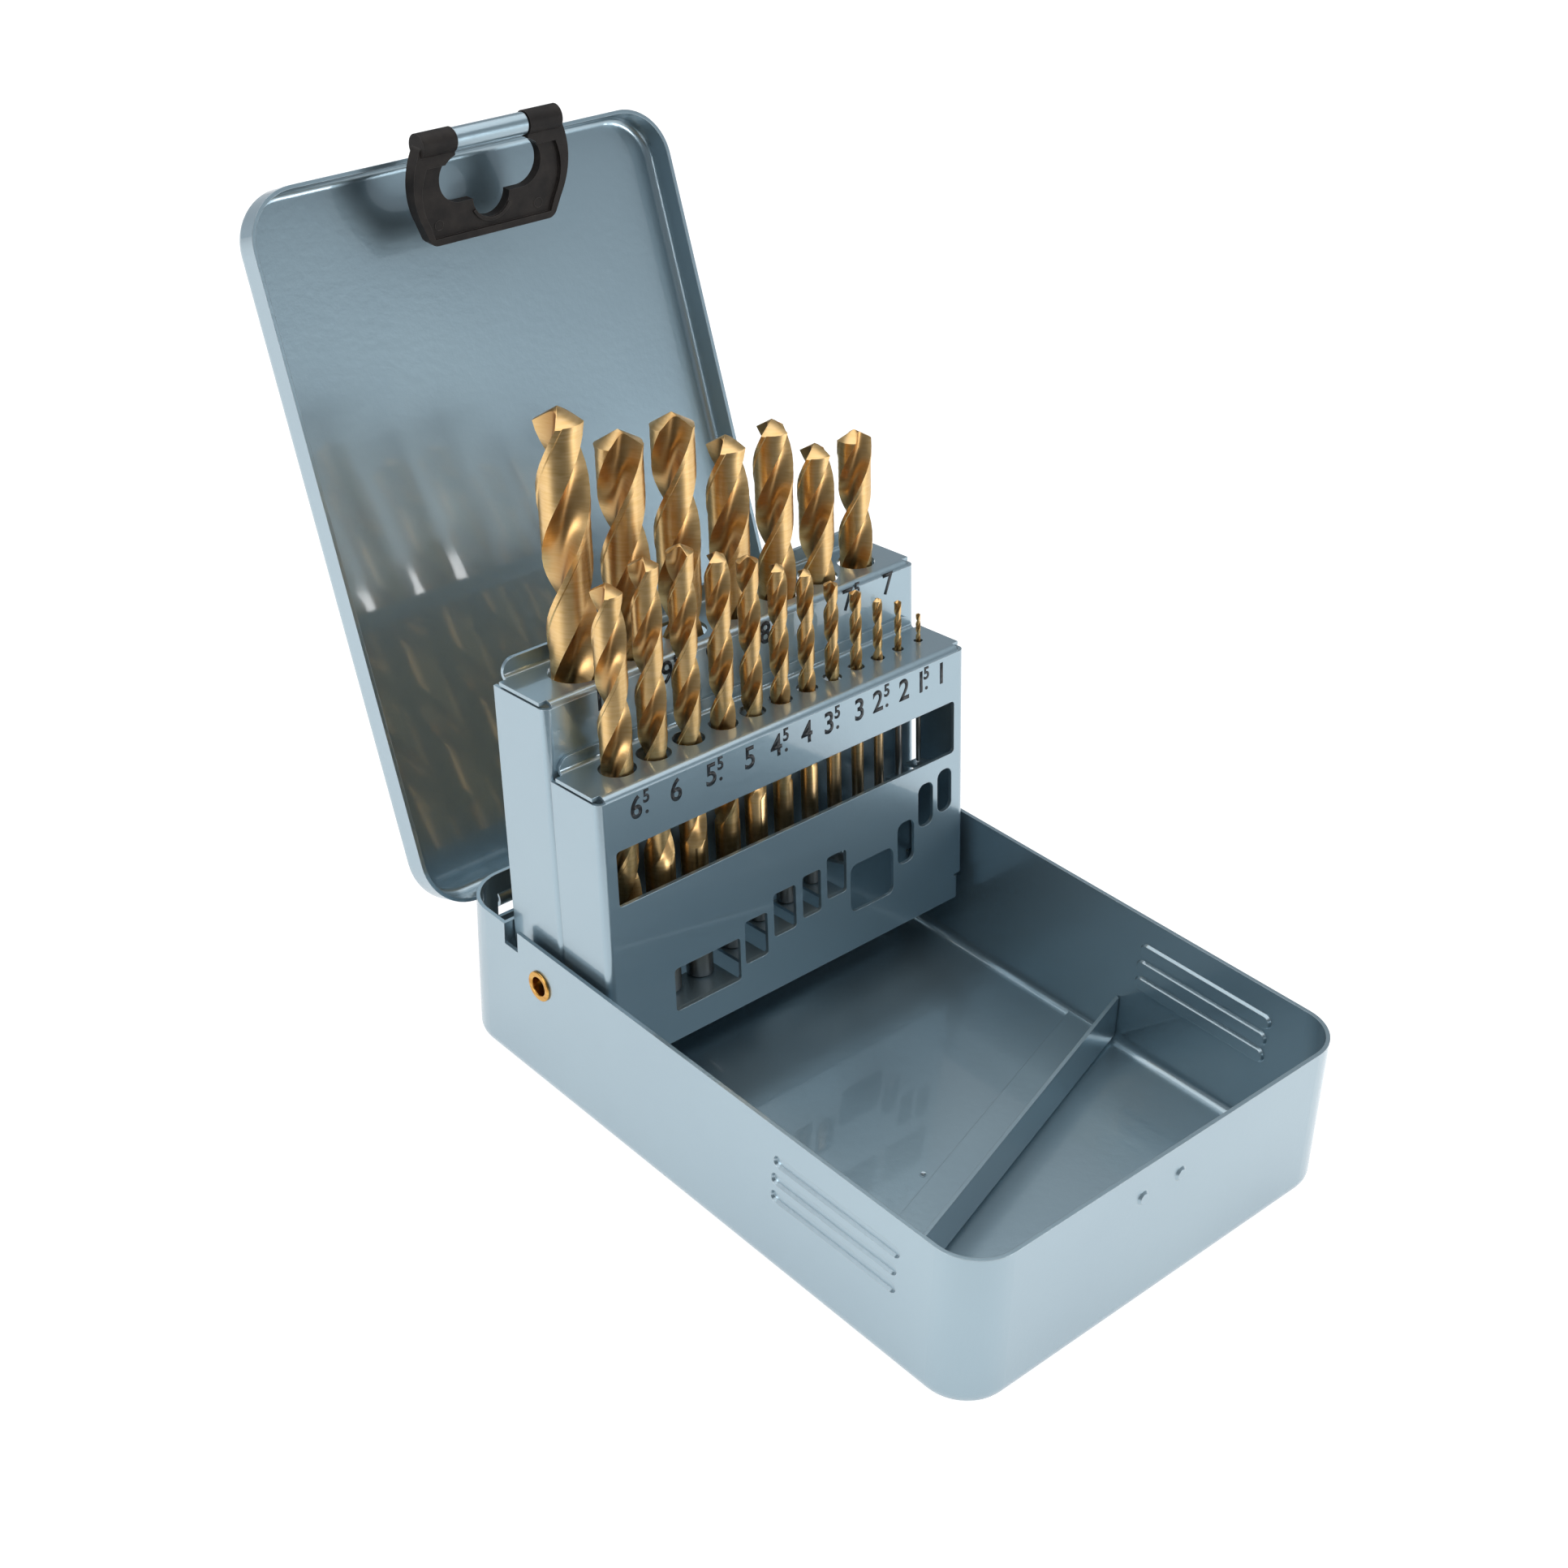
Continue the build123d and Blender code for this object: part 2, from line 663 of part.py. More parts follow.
def front_seat(diameter, shelf):
    """Height at which a small drill stands on the shelf of that name."""
    if shelf in rising_shelves:
        return rising_shelves[shelf][2]
    if shelf in hanging_shelves:
        return hanging_seat(hanging_shelves[shelf], diameter)
    return small_seat_height


racked = [(d, x, length, front_row, front_seat(d, shelf)) for d, x, length, shelf in front_drills]
racked += [(d, x, length, rear_row, rear_bottom) for d, x, length in rear_drills]
for diameter, x, length, row, seat in racked:
    radius = diameter / 2
    tip = radius / tan(radians(point_angle / 2))
    chamfer_size = shank_chamfer * diameter
    foot = rack_frame.from_local_coords((x * row_spread, row, seat + seat_gap))
    with BuildPart() as drill:
        with BuildSketch(Plane(foot, x_dir=rack_frame.x_dir, z_dir=-rack_frame.y_dir)):
            with BuildLine():
                Polyline(
                    (0, 0),
                    (radius - chamfer_size, 0),
                    (radius, chamfer_size),
                    (radius, length - tip),
                    (0, length),
                    close=True,
                )
            make_face()
        revolve(axis=Axis(foot, rack_frame.z_dir))
    name = f"drill_{diameter:.1f}mm".replace(".", "_")
    drill.part.label = name
    export_step(drill.part, f"parts/{name}.step")
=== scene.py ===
"""Finishes, drills and studio for a folding steel case that holds nineteen twist drills.

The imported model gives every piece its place. This script dresses the sheet steel in enamel, grinds
the drills, prints the size marks, details the hanger and sets the case in a white studio.
"""

from __future__ import annotations

import json
import logging
import math
from collections.abc import Iterator
from contextlib import contextmanager
from dataclasses import dataclass
from enum import Enum

import bpy
import numpy as np
from bpy.types import Material, Node, NodeSocket, NodeTree, Object
from mathutils import Matrix, Vector

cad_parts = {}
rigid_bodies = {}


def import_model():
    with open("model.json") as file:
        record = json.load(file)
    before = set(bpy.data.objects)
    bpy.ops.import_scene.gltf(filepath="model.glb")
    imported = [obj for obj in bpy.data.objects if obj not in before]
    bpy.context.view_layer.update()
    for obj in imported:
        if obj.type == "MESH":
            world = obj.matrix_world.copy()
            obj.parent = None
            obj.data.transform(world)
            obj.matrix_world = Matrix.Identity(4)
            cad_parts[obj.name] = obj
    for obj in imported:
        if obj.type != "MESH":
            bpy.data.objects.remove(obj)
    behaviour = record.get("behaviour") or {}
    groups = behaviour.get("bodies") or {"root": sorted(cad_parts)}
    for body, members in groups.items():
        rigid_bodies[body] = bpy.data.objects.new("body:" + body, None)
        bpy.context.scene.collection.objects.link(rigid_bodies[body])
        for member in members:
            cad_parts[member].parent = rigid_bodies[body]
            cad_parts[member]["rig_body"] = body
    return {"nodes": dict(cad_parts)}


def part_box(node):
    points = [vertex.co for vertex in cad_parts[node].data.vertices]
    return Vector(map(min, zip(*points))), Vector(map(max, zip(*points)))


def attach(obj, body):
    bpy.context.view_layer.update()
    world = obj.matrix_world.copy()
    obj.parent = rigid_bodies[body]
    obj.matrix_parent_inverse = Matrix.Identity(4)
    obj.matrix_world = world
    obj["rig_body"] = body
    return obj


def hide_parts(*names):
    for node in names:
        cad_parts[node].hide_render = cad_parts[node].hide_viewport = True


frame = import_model()
log = logging.getLogger("drill_case")

MM = 0.001
IMAGE_SIDE = 1932
MERGE_DISTANCE = 0.001 * MM
FULL_TURN = 2 * math.pi
QUARTER_TURN = math.radians(90)

# The rack leans back on its pivot; everything on it is placed in its own frame
RACK_LEAN = math.radians(4.5)
RACK_UP = Vector((0.0, math.sin(RACK_LEAN), math.cos(RACK_LEAN)))
RACK_BACK = Vector((0.0, math.cos(RACK_LEAN), -math.sin(RACK_LEAN)))

# Cosine between true and rounded normal at which the edge mask is full
EDGE_COSINE = 0.8
# Size ratio and share of the finer of a skin's two ripples
FINE_RATIO = 3.1
FINE_SHARE = 0.3
# Grinding marks are drawn out round the drill, so they stay short along it
MARK_STRETCH = (0.12, 0.12, 1.0)

Colour = tuple[float, float, float, float]
Place = tuple[float, float, float]
Rows = tuple[tuple[float, ...], ...]


def srgb(red: int, green: int, blue: int) -> Colour:
    """Turn a colour given in screen values into Blender's linear values.

    Args:
        red: Red from 0 to 255.
        green: Green from 0 to 255.
        blue: Blue from 0 to 255.

    Returns:
        Linear red, green, blue and an alpha of 1.
    """

    def linear(value: int) -> float:
        share = value / 255.0
        return share / 12.92 if share <= 0.04045 else ((share + 0.055) / 1.055) ** 2.4

    return (linear(red), linear(green), linear(blue), 1.0)


class Slot(Enum):
    """Material slots of the record."""

    STEEL = "painted_steel"
    BRASS = "brass"
    PLASTIC = "black_plastic"
    COATED = "coated_drill_steel"


# Node graphs ------------------------------------


class NodeGraph:
    """A shader node tree that short calls add to and wire."""

    def __init__(self, tree: NodeTree) -> None:
        """Take over a tree."""
        self.tree = tree

    def add(self, kind: str, **settings: object) -> Node:
        """Add a node.

        Args:
            kind: Type of the node, without the leading "ShaderNode".
            **settings: Its input values and properties; an underscore in an input's name stands
                for a space.

        Returns:
            The node.
        """
        made = self.tree.nodes.new(f"ShaderNode{kind}")
        self.fill(made, settings)
        return made

    @staticmethod
    def fill(node: Node, settings: dict[str, object]) -> None:
        """Set a node's input values and properties, in order."""
        for name, value in settings.items():
            socket = node.inputs.get(name.replace("_", " "))
            if socket is None:
                setattr(node, name, value)
            else:
                socket.default_value = value

    def wire(self, *links: tuple[Node, str, Node, str | int]) -> None:
        """Link nodes; each link names a source, its output, a target and its input."""
        for source, output, target, entry in links:
            self.tree.links.new(source.outputs[output], target.inputs[entry])

    def ramp(self, *stops: tuple[float, Colour]) -> Node:
        """Add a colour ramp with a colour at each place from 0 to 1, in order."""
        node = self.add("ValToRGB")
        elements = node.color_ramp.elements
        while len(elements) < len(stops):
            elements.new(0.5)
        for element, (place, colour) in zip(elements, stops):
            element.position = place
            element.color = colour
        return node


class ShaderGroup(NodeGraph):
    """A node group that takes sizes and puts out a normal and masks."""

    def __init__(self, name: str, sizes: dict[str, float], masks: tuple[str, ...]) -> None:
        """Start a group.

        Args:
            name: Name of the group.
            sizes: Default value of each input.
            masks: Names of the outputs besides the normal.
        """
        super().__init__(bpy.data.node_groups.new(name, "ShaderNodeTree"))
        self.inside = self.tree.nodes.new("NodeGroupInput")
        self.outside = self.tree.nodes.new("NodeGroupOutput")
        sockets = self.tree.interface
        for size, value in sizes.items():
            made = sockets.new_socket(size, in_out="INPUT", socket_type="NodeSocketFloat")
            made.default_value = value
        sockets.new_socket("Normal", in_out="OUTPUT", socket_type="NodeSocketVector")
        for mask in masks:
            sockets.new_socket(mask, in_out="OUTPUT", socket_type="NodeSocketFloat")


def coated_surface_group() -> NodeTree:
    """Build the group for a sprayed or moulded skin: rounded edges, a fine ripple and an edge mask.

    Returns:
        A group that puts out a normal, an edge mask and a slow tone variation.
    """
    sizes = {"Edge Radius": 0.0003, "Ripple Size": 900.0, "Ripple Height": 0.00001, "Tone Size": 25.0}
    group = ShaderGroup("skin_over_edges", sizes, ("Edge", "Tone"))
    rounded = group.add("Bevel", samples=4)
    flat = group.add("NewGeometry")
    match = group.add("VectorMath", operation="DOT_PRODUCT")
    # Edge mask, full on rounded edges; the finishes use it to paint paler edges (a painted highlight on the
    # enamel)
    edge = group.add("MapRange", From_Min=1.0, From_Max=EDGE_COSINE)
    place = group.add("TexCoord")
    coarse = group.add("TexNoise", Detail=2.0)
    fine_size = group.add("Math", operation="MULTIPLY")
    fine_size.inputs[1].default_value = FINE_RATIO
    fine = group.add("TexNoise", Detail=1.0)
    blend = group.add("Math", operation="MULTIPLY_ADD")
    blend.inputs[1].default_value = FINE_SHARE
    bump = group.add("Bump")
    tone = group.add("TexNoise", Detail=3.0)
    group.wire(
        (group.inside, "Edge Radius", rounded, "Radius"),
        (rounded, "Normal", match, 0),
        (flat, "True Normal", match, 1),
        (match, "Value", edge, "Value"),
        (place, "Object", coarse, "Vector"),
        (place, "Object", fine, "Vector"),
        (place, "Object", tone, "Vector"),
        (group.inside, "Ripple Size", coarse, "Scale"),
        (group.inside, "Ripple Size", fine_size, 0),
        (fine_size, "Value", fine, "Scale"),
        (group.inside, "Tone Size", tone, "Scale"),
        (fine, "Fac", blend, 0),
        (coarse, "Fac", blend, 2),
        (blend, "Value", bump, "Height"),
        (group.inside, "Ripple Height", bump, "Distance"),
        (rounded, "Normal", bump, "Normal"),
        (bump, "Normal", group.outside, "Normal"),
        (edge, "Result", group.outside, "Edge"),
        (tone, "Fac", group.outside, "Tone"),
    )
    return group.tree


def grinding_group() -> NodeTree:
    """Build the group for ground metal: fine marks round the rack's upright and a worn tone.

    Returns:
        A group that puts out a normal and a mark value.
    """
    sizes = {"Mark Size": 2500.0, "Mark Height": 0.000004}
    group = ShaderGroup("grinding_marks", sizes, ("Marks",))
    place = group.add("TexCoord")
    turn = group.add("Mapping", Rotation=(RACK_LEAN, 0.0, 0.0), Scale=MARK_STRETCH)
    marks = group.add("TexNoise", Detail=3.0)
    bump = group.add("Bump")
    group.wire(
        (place, "Object", turn, "Vector"),
        (turn, "Vector", marks, "Vector"),
        (group.inside, "Mark Size", marks, "Scale"),
        (marks, "Fac", bump, "Height"),
        (group.inside, "Mark Height", bump, "Distance"),
        (bump, "Normal", group.outside, "Normal"),
        (marks, "Fac", group.outside, "Marks"),
    )
    return group.tree


# Finishes ---------------------------------------


class Finish(NodeGraph):
    """A node material with one Principled shader."""

    def __init__(self, name: str, **values: float) -> None:
        """Start a material.

        Args:
            name: Name of the material.
            **values: The shader's own values; an underscore stands for a space.
        """
        self.data = bpy.data.materials.new(name)
        self.data.use_nodes = True
        super().__init__(self.data.node_tree)
        self.shader = self.tree.nodes["Principled BSDF"]
        self.fill(self.shader, values)

    def feed(self, **sources: NodeSocket) -> None:
        """Link an output to each named socket of the shader; an underscore stands for a space."""
        for name, source in sources.items():
            self.tree.links.new(source, self.shader.inputs[name.replace("_", " ")])

    def tint(self, source: NodeSocket, *stops: tuple[float, Colour]) -> NodeSocket:
        """Turn a value into a colour by a ramp and return the colour output."""
        node = self.ramp(*stops)
        self.tree.links.new(source, node.inputs["Fac"])
        return node.outputs["Color"]

    def mix(self, share: NodeSocket, low: NodeSocket | Colour, high: NodeSocket | Colour) -> NodeSocket:
        """Mix two colours by a mask.

        Args:
            share: Mask from 0 to 1.
            low: Colour where the mask is 0.
            high: Colour where the mask is 1.

        Returns:
            The mixed colour.
        """
        node = self.add("Mix", data_type="RGBA")
        self.tree.links.new(share, node.inputs["Factor"])
        for end, value in (("A", low), ("B", high)):
            socket = next(s for s in node.inputs if s.name == end and s.type == "RGBA")
            if isinstance(value, tuple):
                socket.default_value = value
            else:
                self.tree.links.new(value, socket)
        return next(s for s in node.outputs if s.type == "RGBA")


@dataclass(frozen=True)
class Enamel:
    """Glossy stoved enamel on sheet steel, with a slight orange peel and a painted highlight along its
    edges.
    """

    skin: NodeTree
    thin: Colour = srgb(154, 177, 189)
    thick: Colour = srgb(159, 182, 193)
    # Paler colour along the sheet edges: a painted highlight on the rounded edges
    edge: Colour = srgb(188, 200, 206)

    def build(self) -> Material:
        """Return the enamel's material."""
        paint = Finish(
            "grey_blue_enamel",
            Metallic=0.76,
            Roughness=0.31,
            Coat_Weight=1.0,
            Coat_IOR=1.75,
            Coat_Roughness=0.05,
        )
        skin = paint.add(
            "Group", node_tree=self.skin, Edge_Radius=0.0002, Ripple_Size=620.0, Ripple_Height=0.000022
        )
        tone = paint.tint(skin.outputs["Tone"], (0.3, self.thin), (0.7, self.thick))
        # Paint the paler edge colour on the edges as a painted highlight
        base = paint.mix(skin.outputs["Edge"], tone, self.edge)
        paint.feed(Base_Color=base, Normal=skin.outputs["Normal"])
        return paint.data


@dataclass(frozen=True)
class MouldedPlastic:
    """Black moulded plastic, dull, with a brownish bloom and paler edges that are partly wear and partly a
    painted highlight along the rims.
    """

    skin: NodeTree
    body: Colour = srgb(38, 35, 34)
    bloom: Colour = srgb(56, 51, 48)
    # Paler colour on the edges: partly wear, partly a painted highlight along the rims
    edge_wear_and_highlight: Colour = srgb(104, 99, 95)

    def build(self) -> Material:
        """Return the plastic's material."""
        plastic = Finish("black_moulded_plastic", Roughness=0.55, IOR=1.49, Specular_IOR_Level=0.2)
        skin = plastic.add(
            "Group",
            node_tree=self.skin,
            Edge_Radius=0.00012,
            Ripple_Size=2600.0,
            Ripple_Height=0.00003,
            Tone_Size=260.0,
        )
        tone = plastic.tint(skin.outputs["Tone"], (0.35, self.body), (0.75, self.bloom))
        # Paler edges: wear together with a painted highlight
        base = plastic.mix(skin.outputs["Edge"], tone, self.edge_wear_and_highlight)
        plastic.feed(Base_Color=base, Normal=skin.outputs["Normal"])
        return plastic.data


@dataclass(frozen=True)
class TurnedMetal:
    """Plain bright metal with fine marks, such as brass eyelets or steel pins."""

    grinding: NodeTree
    name: str
    low: Colour
    high: Colour
    roughness: float

    def build(self) -> Material:
        """Return the metal's material."""
        metal = Finish(self.name, Metallic=1.0, Roughness=self.roughness)
        marks = metal.add("Group", node_tree=self.grinding, Mark_Size=1500.0, Mark_Height=0.000006)
        base = metal.tint(marks.outputs["Marks"], (0.3, self.low), (0.7, self.high))
        metal.feed(Base_Color=base, Normal=marks.outputs["Normal"])
        return metal.data


@dataclass(frozen=True)
class NitrideCoat:
    """Golden coat on ground high speed steel; the shank's end stays bare, and the flutes get a painted shade
    that darkens with their depth.
    """

    grinding: NodeTree
    gold: Colour = srgb(234, 198, 142)
    bronze: Colour = srgb(224, 184, 122)
    # Dark brown in the flutes: painted shade, mixed in by the flute depth
    painted_flute_shade: Colour = srgb(142, 97, 50)
    bare: Colour = srgb(150, 150, 150)

    def build(self) -> Material:
        """Return the coat's material."""
        coat = Finish("golden_coated_steel", Metallic=1.0)
        marks = coat.add("Group", node_tree=self.grinding, Mark_Size=2600.0, Mark_Height=0.0000012)
        depth = coat.add("Attribute", attribute_name=DrillGrinder.DEPTH)
        reach = coat.add("Attribute", attribute_name=DrillGrinder.COAT)
        lands = coat.tint(marks.outputs["Marks"], (0.3, self.bronze), (0.65, self.gold))
        # Paint shade into the flutes by their depth
        body = coat.mix(depth.outputs["Fac"], lands, self.painted_flute_shade)
        base = coat.mix(reach.outputs["Fac"], self.bare, body)
        rough = coat.add("MapRange", To_Min=0.27, To_Max=0.42)
        coat.wire((marks, "Marks", rough, "Value"))
        coat.feed(Base_Color=base, Roughness=rough.outputs["Result"], Normal=marks.outputs["Normal"])
        return coat.data


@dataclass(frozen=True)
class StampInk:
    """Dark ink of the printed size marks, a little uneven."""

    solid: Colour = srgb(28, 30, 33)
    weak: Colour = srgb(70, 76, 82)

    def build(self) -> Material:
        """Return the ink's material."""
        ink = Finish("dark_stamp_ink", Roughness=0.35)
        place = ink.add("TexCoord")
        cover = ink.add("TexNoise", Scale=900.0)
        ink.wire((place, "Object", cover, "Vector"))
        ink.feed(Base_Color=ink.tint(cover.outputs["Fac"], (0.5, self.solid), (0.8, self.weak)))
        return ink.data


# Modelling helpers ------------------------------


def make_active(piece: Object) -> None:
    """Select one object alone and make it the active one."""
    bpy.ops.object.select_all(action="DESELECT")
    piece.select_set(True)
    bpy.context.view_layer.objects.active = piece


def set_in_place(piece: Object, place: Matrix) -> None:
    """Move a mesh to its place and leave its object at the origin.

    Args:
        piece: The object.
        place: Matrix from the piece's own frame to the case's frame.
    """
    make_active(piece)
    piece.data.transform(place)
    piece.data.update()


@contextmanager
def editing() -> Iterator[None]:
    """Edit the active mesh, with all of it selected at first."""
    bpy.ops.object.mode_set(mode="EDIT")
    bpy.ops.mesh.select_all(action="SELECT")
    yield
    bpy.ops.object.mode_set(mode="OBJECT")


def extrude(x: float, y: float, z: float) -> None:
    """Extrude the selected faces by a move in metres."""
    bpy.ops.mesh.extrude_region_move(TRANSFORM_OT_translate={"value": (x, y, z)})


def face_outward() -> None:
    """Turn every face of the edited mesh outward."""
    bpy.ops.mesh.select_all(action="SELECT")
    bpy.ops.mesh.normals_make_consistent(inside=False)


def smooth(piece: Object, degrees: float) -> None:
    """Shade a piece smooth, apart from edges sharper than an angle."""
    make_active(piece)
    bpy.ops.object.shade_smooth_by_angle(angle=math.radians(degrees))


def add_disc(name: str, sides: int, radius: float, place: Place = (0, 0, 0)) -> Object:
    """Add a flat disc.

    Args:
        name: Name of the object.
        sides: Number of its sides.
        radius: Radius in millimetres.
        place: Its middle in millimetres.

    Returns:
        The disc, active and with its object at the origin.
    """
    bpy.ops.mesh.primitive_circle_add(
        vertices=sides, radius=radius * MM, fill_type="NGON", location=[value * MM for value in place]
    )
    disc = bpy.context.object
    disc.name = disc.data.name = name
    bpy.ops.object.transform_apply(location=True)
    return disc


def copy_solid(node: Object, name: str) -> Object:
    """Copy a CAD node as a new piece with its points merged.

    Args:
        node: The CAD node.
        name: Name of the piece.

    Returns:
        The copy, active.
    """
    piece = bpy.data.objects.new(name, node.data.copy())
    piece.data.name = name
    bpy.context.scene.collection.objects.link(piece)
    make_active(piece)
    with editing():
        bpy.ops.mesh.remove_doubles(threshold=MERGE_DISTANCE)
    return piece


def give_finish(piece: Object, finish: Material) -> None:
    """Make a material the only one of a piece and report the piece."""
    piece.data.materials.clear()
    piece.data.materials.append(finish)
    log.info("%s has the finish %s", piece.name, finish.name)


def dress(piece: Object, finish: Material, body: str) -> None:
    """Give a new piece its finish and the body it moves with.

    Args:
        piece: The object.
        finish: Its material.
        body: Name of the CAD body.
    """
    give_finish(piece, finish)
    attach(piece, body)


def rack_matrix(pivot: Vector, back: float, up: float) -> Matrix:
    """Return the matrix of a frame on the rack: X right, Y up the panel, Z out of its front.

    Args:
        pivot: The rack's pivot.
        back: Place behind the pivot, in the rack's frame.
        up: Place above the pivot, in the rack's frame.

    Returns:
        Matrix from that frame to the case's frame.
    """
    origin = Vector((0.0, pivot.y, pivot.z)) + RACK_BACK * back + RACK_UP * up
    columns = Matrix((Vector((1.0, 0.0, 0.0)), RACK_UP, -RACK_BACK)).transposed()
    return Matrix.Translation(origin) @ columns.to_4x4()


# Drills -----------------------------------------


@dataclass
class DrillGrinder:
    """Grinds a twist drill out of a round blank that stands on the origin, all in millimetres."""

    # Point attributes: how deep a point lies in a flute, which the coat uses for painted shade, and how far
    # the coat reaches
    DEPTH = "flute_depth"
    COAT = "coat_reach"

    sides: int = 48
    web: float = 0.26
    land_share: float = 0.47
    margin_share: float = 0.07
    # The land's relief, as a share of the radius, and where it starts, in widths of the margin
    land_clearance: float = 0.05
    relief_start: float = 1.25
    # The two points that bend the flute: share of the radius, share of the web
    flute_inner: tuple[float, float] = (-0.02, 0.2)
    flute_outer: tuple[float, float] = (-0.2, 0.25)
    point_angle: float = 118.0
    helix_angle: float = 29.0
    run_out: float = 1.1
    chamfer: float = 0.08
    coat_fade: float = 2.5
    fewest_rings: int = 24
    rings_per_turn: int = 26
    # Points nearer the axis than this share of the radius belong to the tip or the foot
    axis_share: float = 0.01
    height_slack: float = 1e-4
    turn_ease: float = 3.0
    smooth_angle: float = 32.0

    def section(self) -> list[tuple[float, float]]:
        """Draw the fluted section for a radius of 1.

        Returns:
            Radius and angle of each point: margin, relieved land and flute, twice round.
        """
        half = self.sides // 2
        land = math.pi * self.land_share
        margin = math.pi * self.margin_share
        relieved = 1.0 - self.land_clearance
        land_points = half // 3
        points = [(1.0, 0.0), (1.0, margin * 0.5), (1.0, margin)]
        relief = margin * self.relief_start
        for step in range(land_points):
            points.append((relieved, relief + (land - relief) * step / (land_points - 1)))
        # The flute leaves the heel steeply, passes the web and runs out straight to the lip
        heel = Vector((math.cos(land), math.sin(land))) * relieved
        lip = Vector((-1.0, 0.0))
        inner = Vector((self.flute_inner[0], self.web * self.flute_inner[1]))
        outer = Vector((self.flute_outer[0], self.web * self.flute_outer[1]))
        count = half - len(points)
        for step in range(1, count + 1):
            t = step / (count + 1)
            s = 1.0 - t
            spot = heel * s**3 + inner * 3 * s * s * t + outer * 3 * s * t * t + lip * t**3
            points.append((spot.length, math.atan2(spot.y, spot.x)))
        return points + [(radius, angle + math.pi) for radius, angle in points]

    def levels(self, radius: float, length: float, flute: float) -> list[float]:
        """List the heights of the blank's rings from the foot to the point's corner."""
        bevel = self.chamfer * 2 * radius
        start = length - flute - self.run_out * 2 * radius
        corner = length - radius / math.tan(math.radians(self.point_angle / 2))
        pitch = math.pi * 2 * radius / math.tan(math.radians(self.helix_angle))
        steps = max(self.fewest_rings, int((corner - start) / pitch * self.rings_per_turn))
        fluted = [start + (corner - start) * step / steps for step in range(steps + 1)]
        return [bevel] + fluted

    def grind(self, name: str, diameter: float, length: float, flute: float, bare: float) -> Object:
        """Grind one drill.

        Args:
            name: Name of the piece.
            diameter: Drill diameter.
            length: Overall length.
            flute: Length of the flutes.
            bare: Length of the shank's end that the coat doesn't cover.

        Returns:
            The drill, standing on the origin with its point up.
        """
        radius = diameter / 2
        levels = self.levels(radius, length, flute)
        blank = self.blank(name, radius, levels)
        self.cut_flutes(blank, radius, levels, length)
        self.twist(blank, radius, levels[1], levels[-1])
        self.mark_coat(blank, bare)
        smooth(blank, self.smooth_angle)
        return blank

    def blank(self, name: str, radius: float, levels: list[float]) -> Object:
        """Raise a round blank ring by ring, with a chamfered foot and a pointed end."""
        blank = add_disc(name, self.sides, radius - levels[0])
        with editing():
            height = 0.0
            for index, level in enumerate(levels):
                extrude(0, 0, (level - height) * MM)
                if index == 0:
                    wider = radius / (radius - levels[0])
                    bpy.ops.transform.resize(value=(wider, wider, 1.0))
                height = level
            bpy.ops.mesh.poke()
        return blank

    def cut_flutes(self, blank: Object, radius: float, levels: list[float], length: float) -> None:
        """Press every ring above the shank into the fluted section and shape the point.

        Args:
            blank: The blank.
            radius: Its radius.
            levels: Heights of its rings.
            length: Height of the point's tip.
        """
        section = self.section()
        start, corner = levels[1], levels[-1]
        run = self.run_out * 2 * radius
        slope = math.tan(math.radians(self.point_angle / 2))
        depths = blank.data.attributes.new(self.DEPTH, "FLOAT", "POINT")
        for vertex in blank.data.vertices:
            height = vertex.co.z / MM
            distance = math.hypot(vertex.co.x, vertex.co.y) / MM
            if distance < radius * self.axis_share:
                vertex.co.z = (length if height > start else 0.0) * MM
                continue
            if height < start - self.height_slack:
                continue
            turn = math.atan2(vertex.co.y, vertex.co.x) % FULL_TURN
            index = round(turn / FULL_TURN * self.sides) % self.sides
            share = math.sin(min(1.0, (height - start) / run) * math.pi / 2)
            ground, angle = section[index]
            even = index / self.sides * FULL_TURN
            angle = even + (self.nearest(angle, even) - even) * min(1.0, share * self.turn_ease)
            reach = radius * (1.0 + (ground - 1.0) * share)
            if height > corner - self.height_slack:
                height = length - reach / slope
            vertex.co = Vector((math.cos(angle) * reach, math.sin(angle) * reach, height)) * MM
            depths.data[vertex.index].value = max(0.0, 1.0 - reach / radius - self.land_clearance)

    @staticmethod
    def nearest(angle: float, target: float) -> float:
        """Return the angle moved by whole turns to lie nearest the target."""
        return angle + round((target - angle) / FULL_TURN) * FULL_TURN

    def twist(self, blank: Object, radius: float, start: float, corner: float) -> None:
        """Twist the fluted length to its right-hand helix.

        Args:
            blank: The fluted blank.
            radius: Its radius.
            start: Height where the flutes run out.
            corner: Height of the point's corner.
        """
        turn_per_mm = math.tan(math.radians(self.helix_angle)) / radius
        for vertex in blank.data.vertices:
            height = vertex.co.z / MM
            if height > start:
                angle = (min(height, corner + radius) - start) * turn_per_mm
                vertex.co = Matrix.Rotation(angle, 3, "Z") @ vertex.co

    def mark_coat(self, blank: Object, bare: float) -> None:
        """Store how far the coat covers each point, from 0 on the bare end to 1."""
        cover = blank.data.attributes.new(self.COAT, "FLOAT", "POINT")
        for vertex in blank.data.vertices:
            share = (vertex.co.z / MM - bare) / self.coat_fade
            cover.data[vertex.index].value = min(1.0, max(0.0, share))


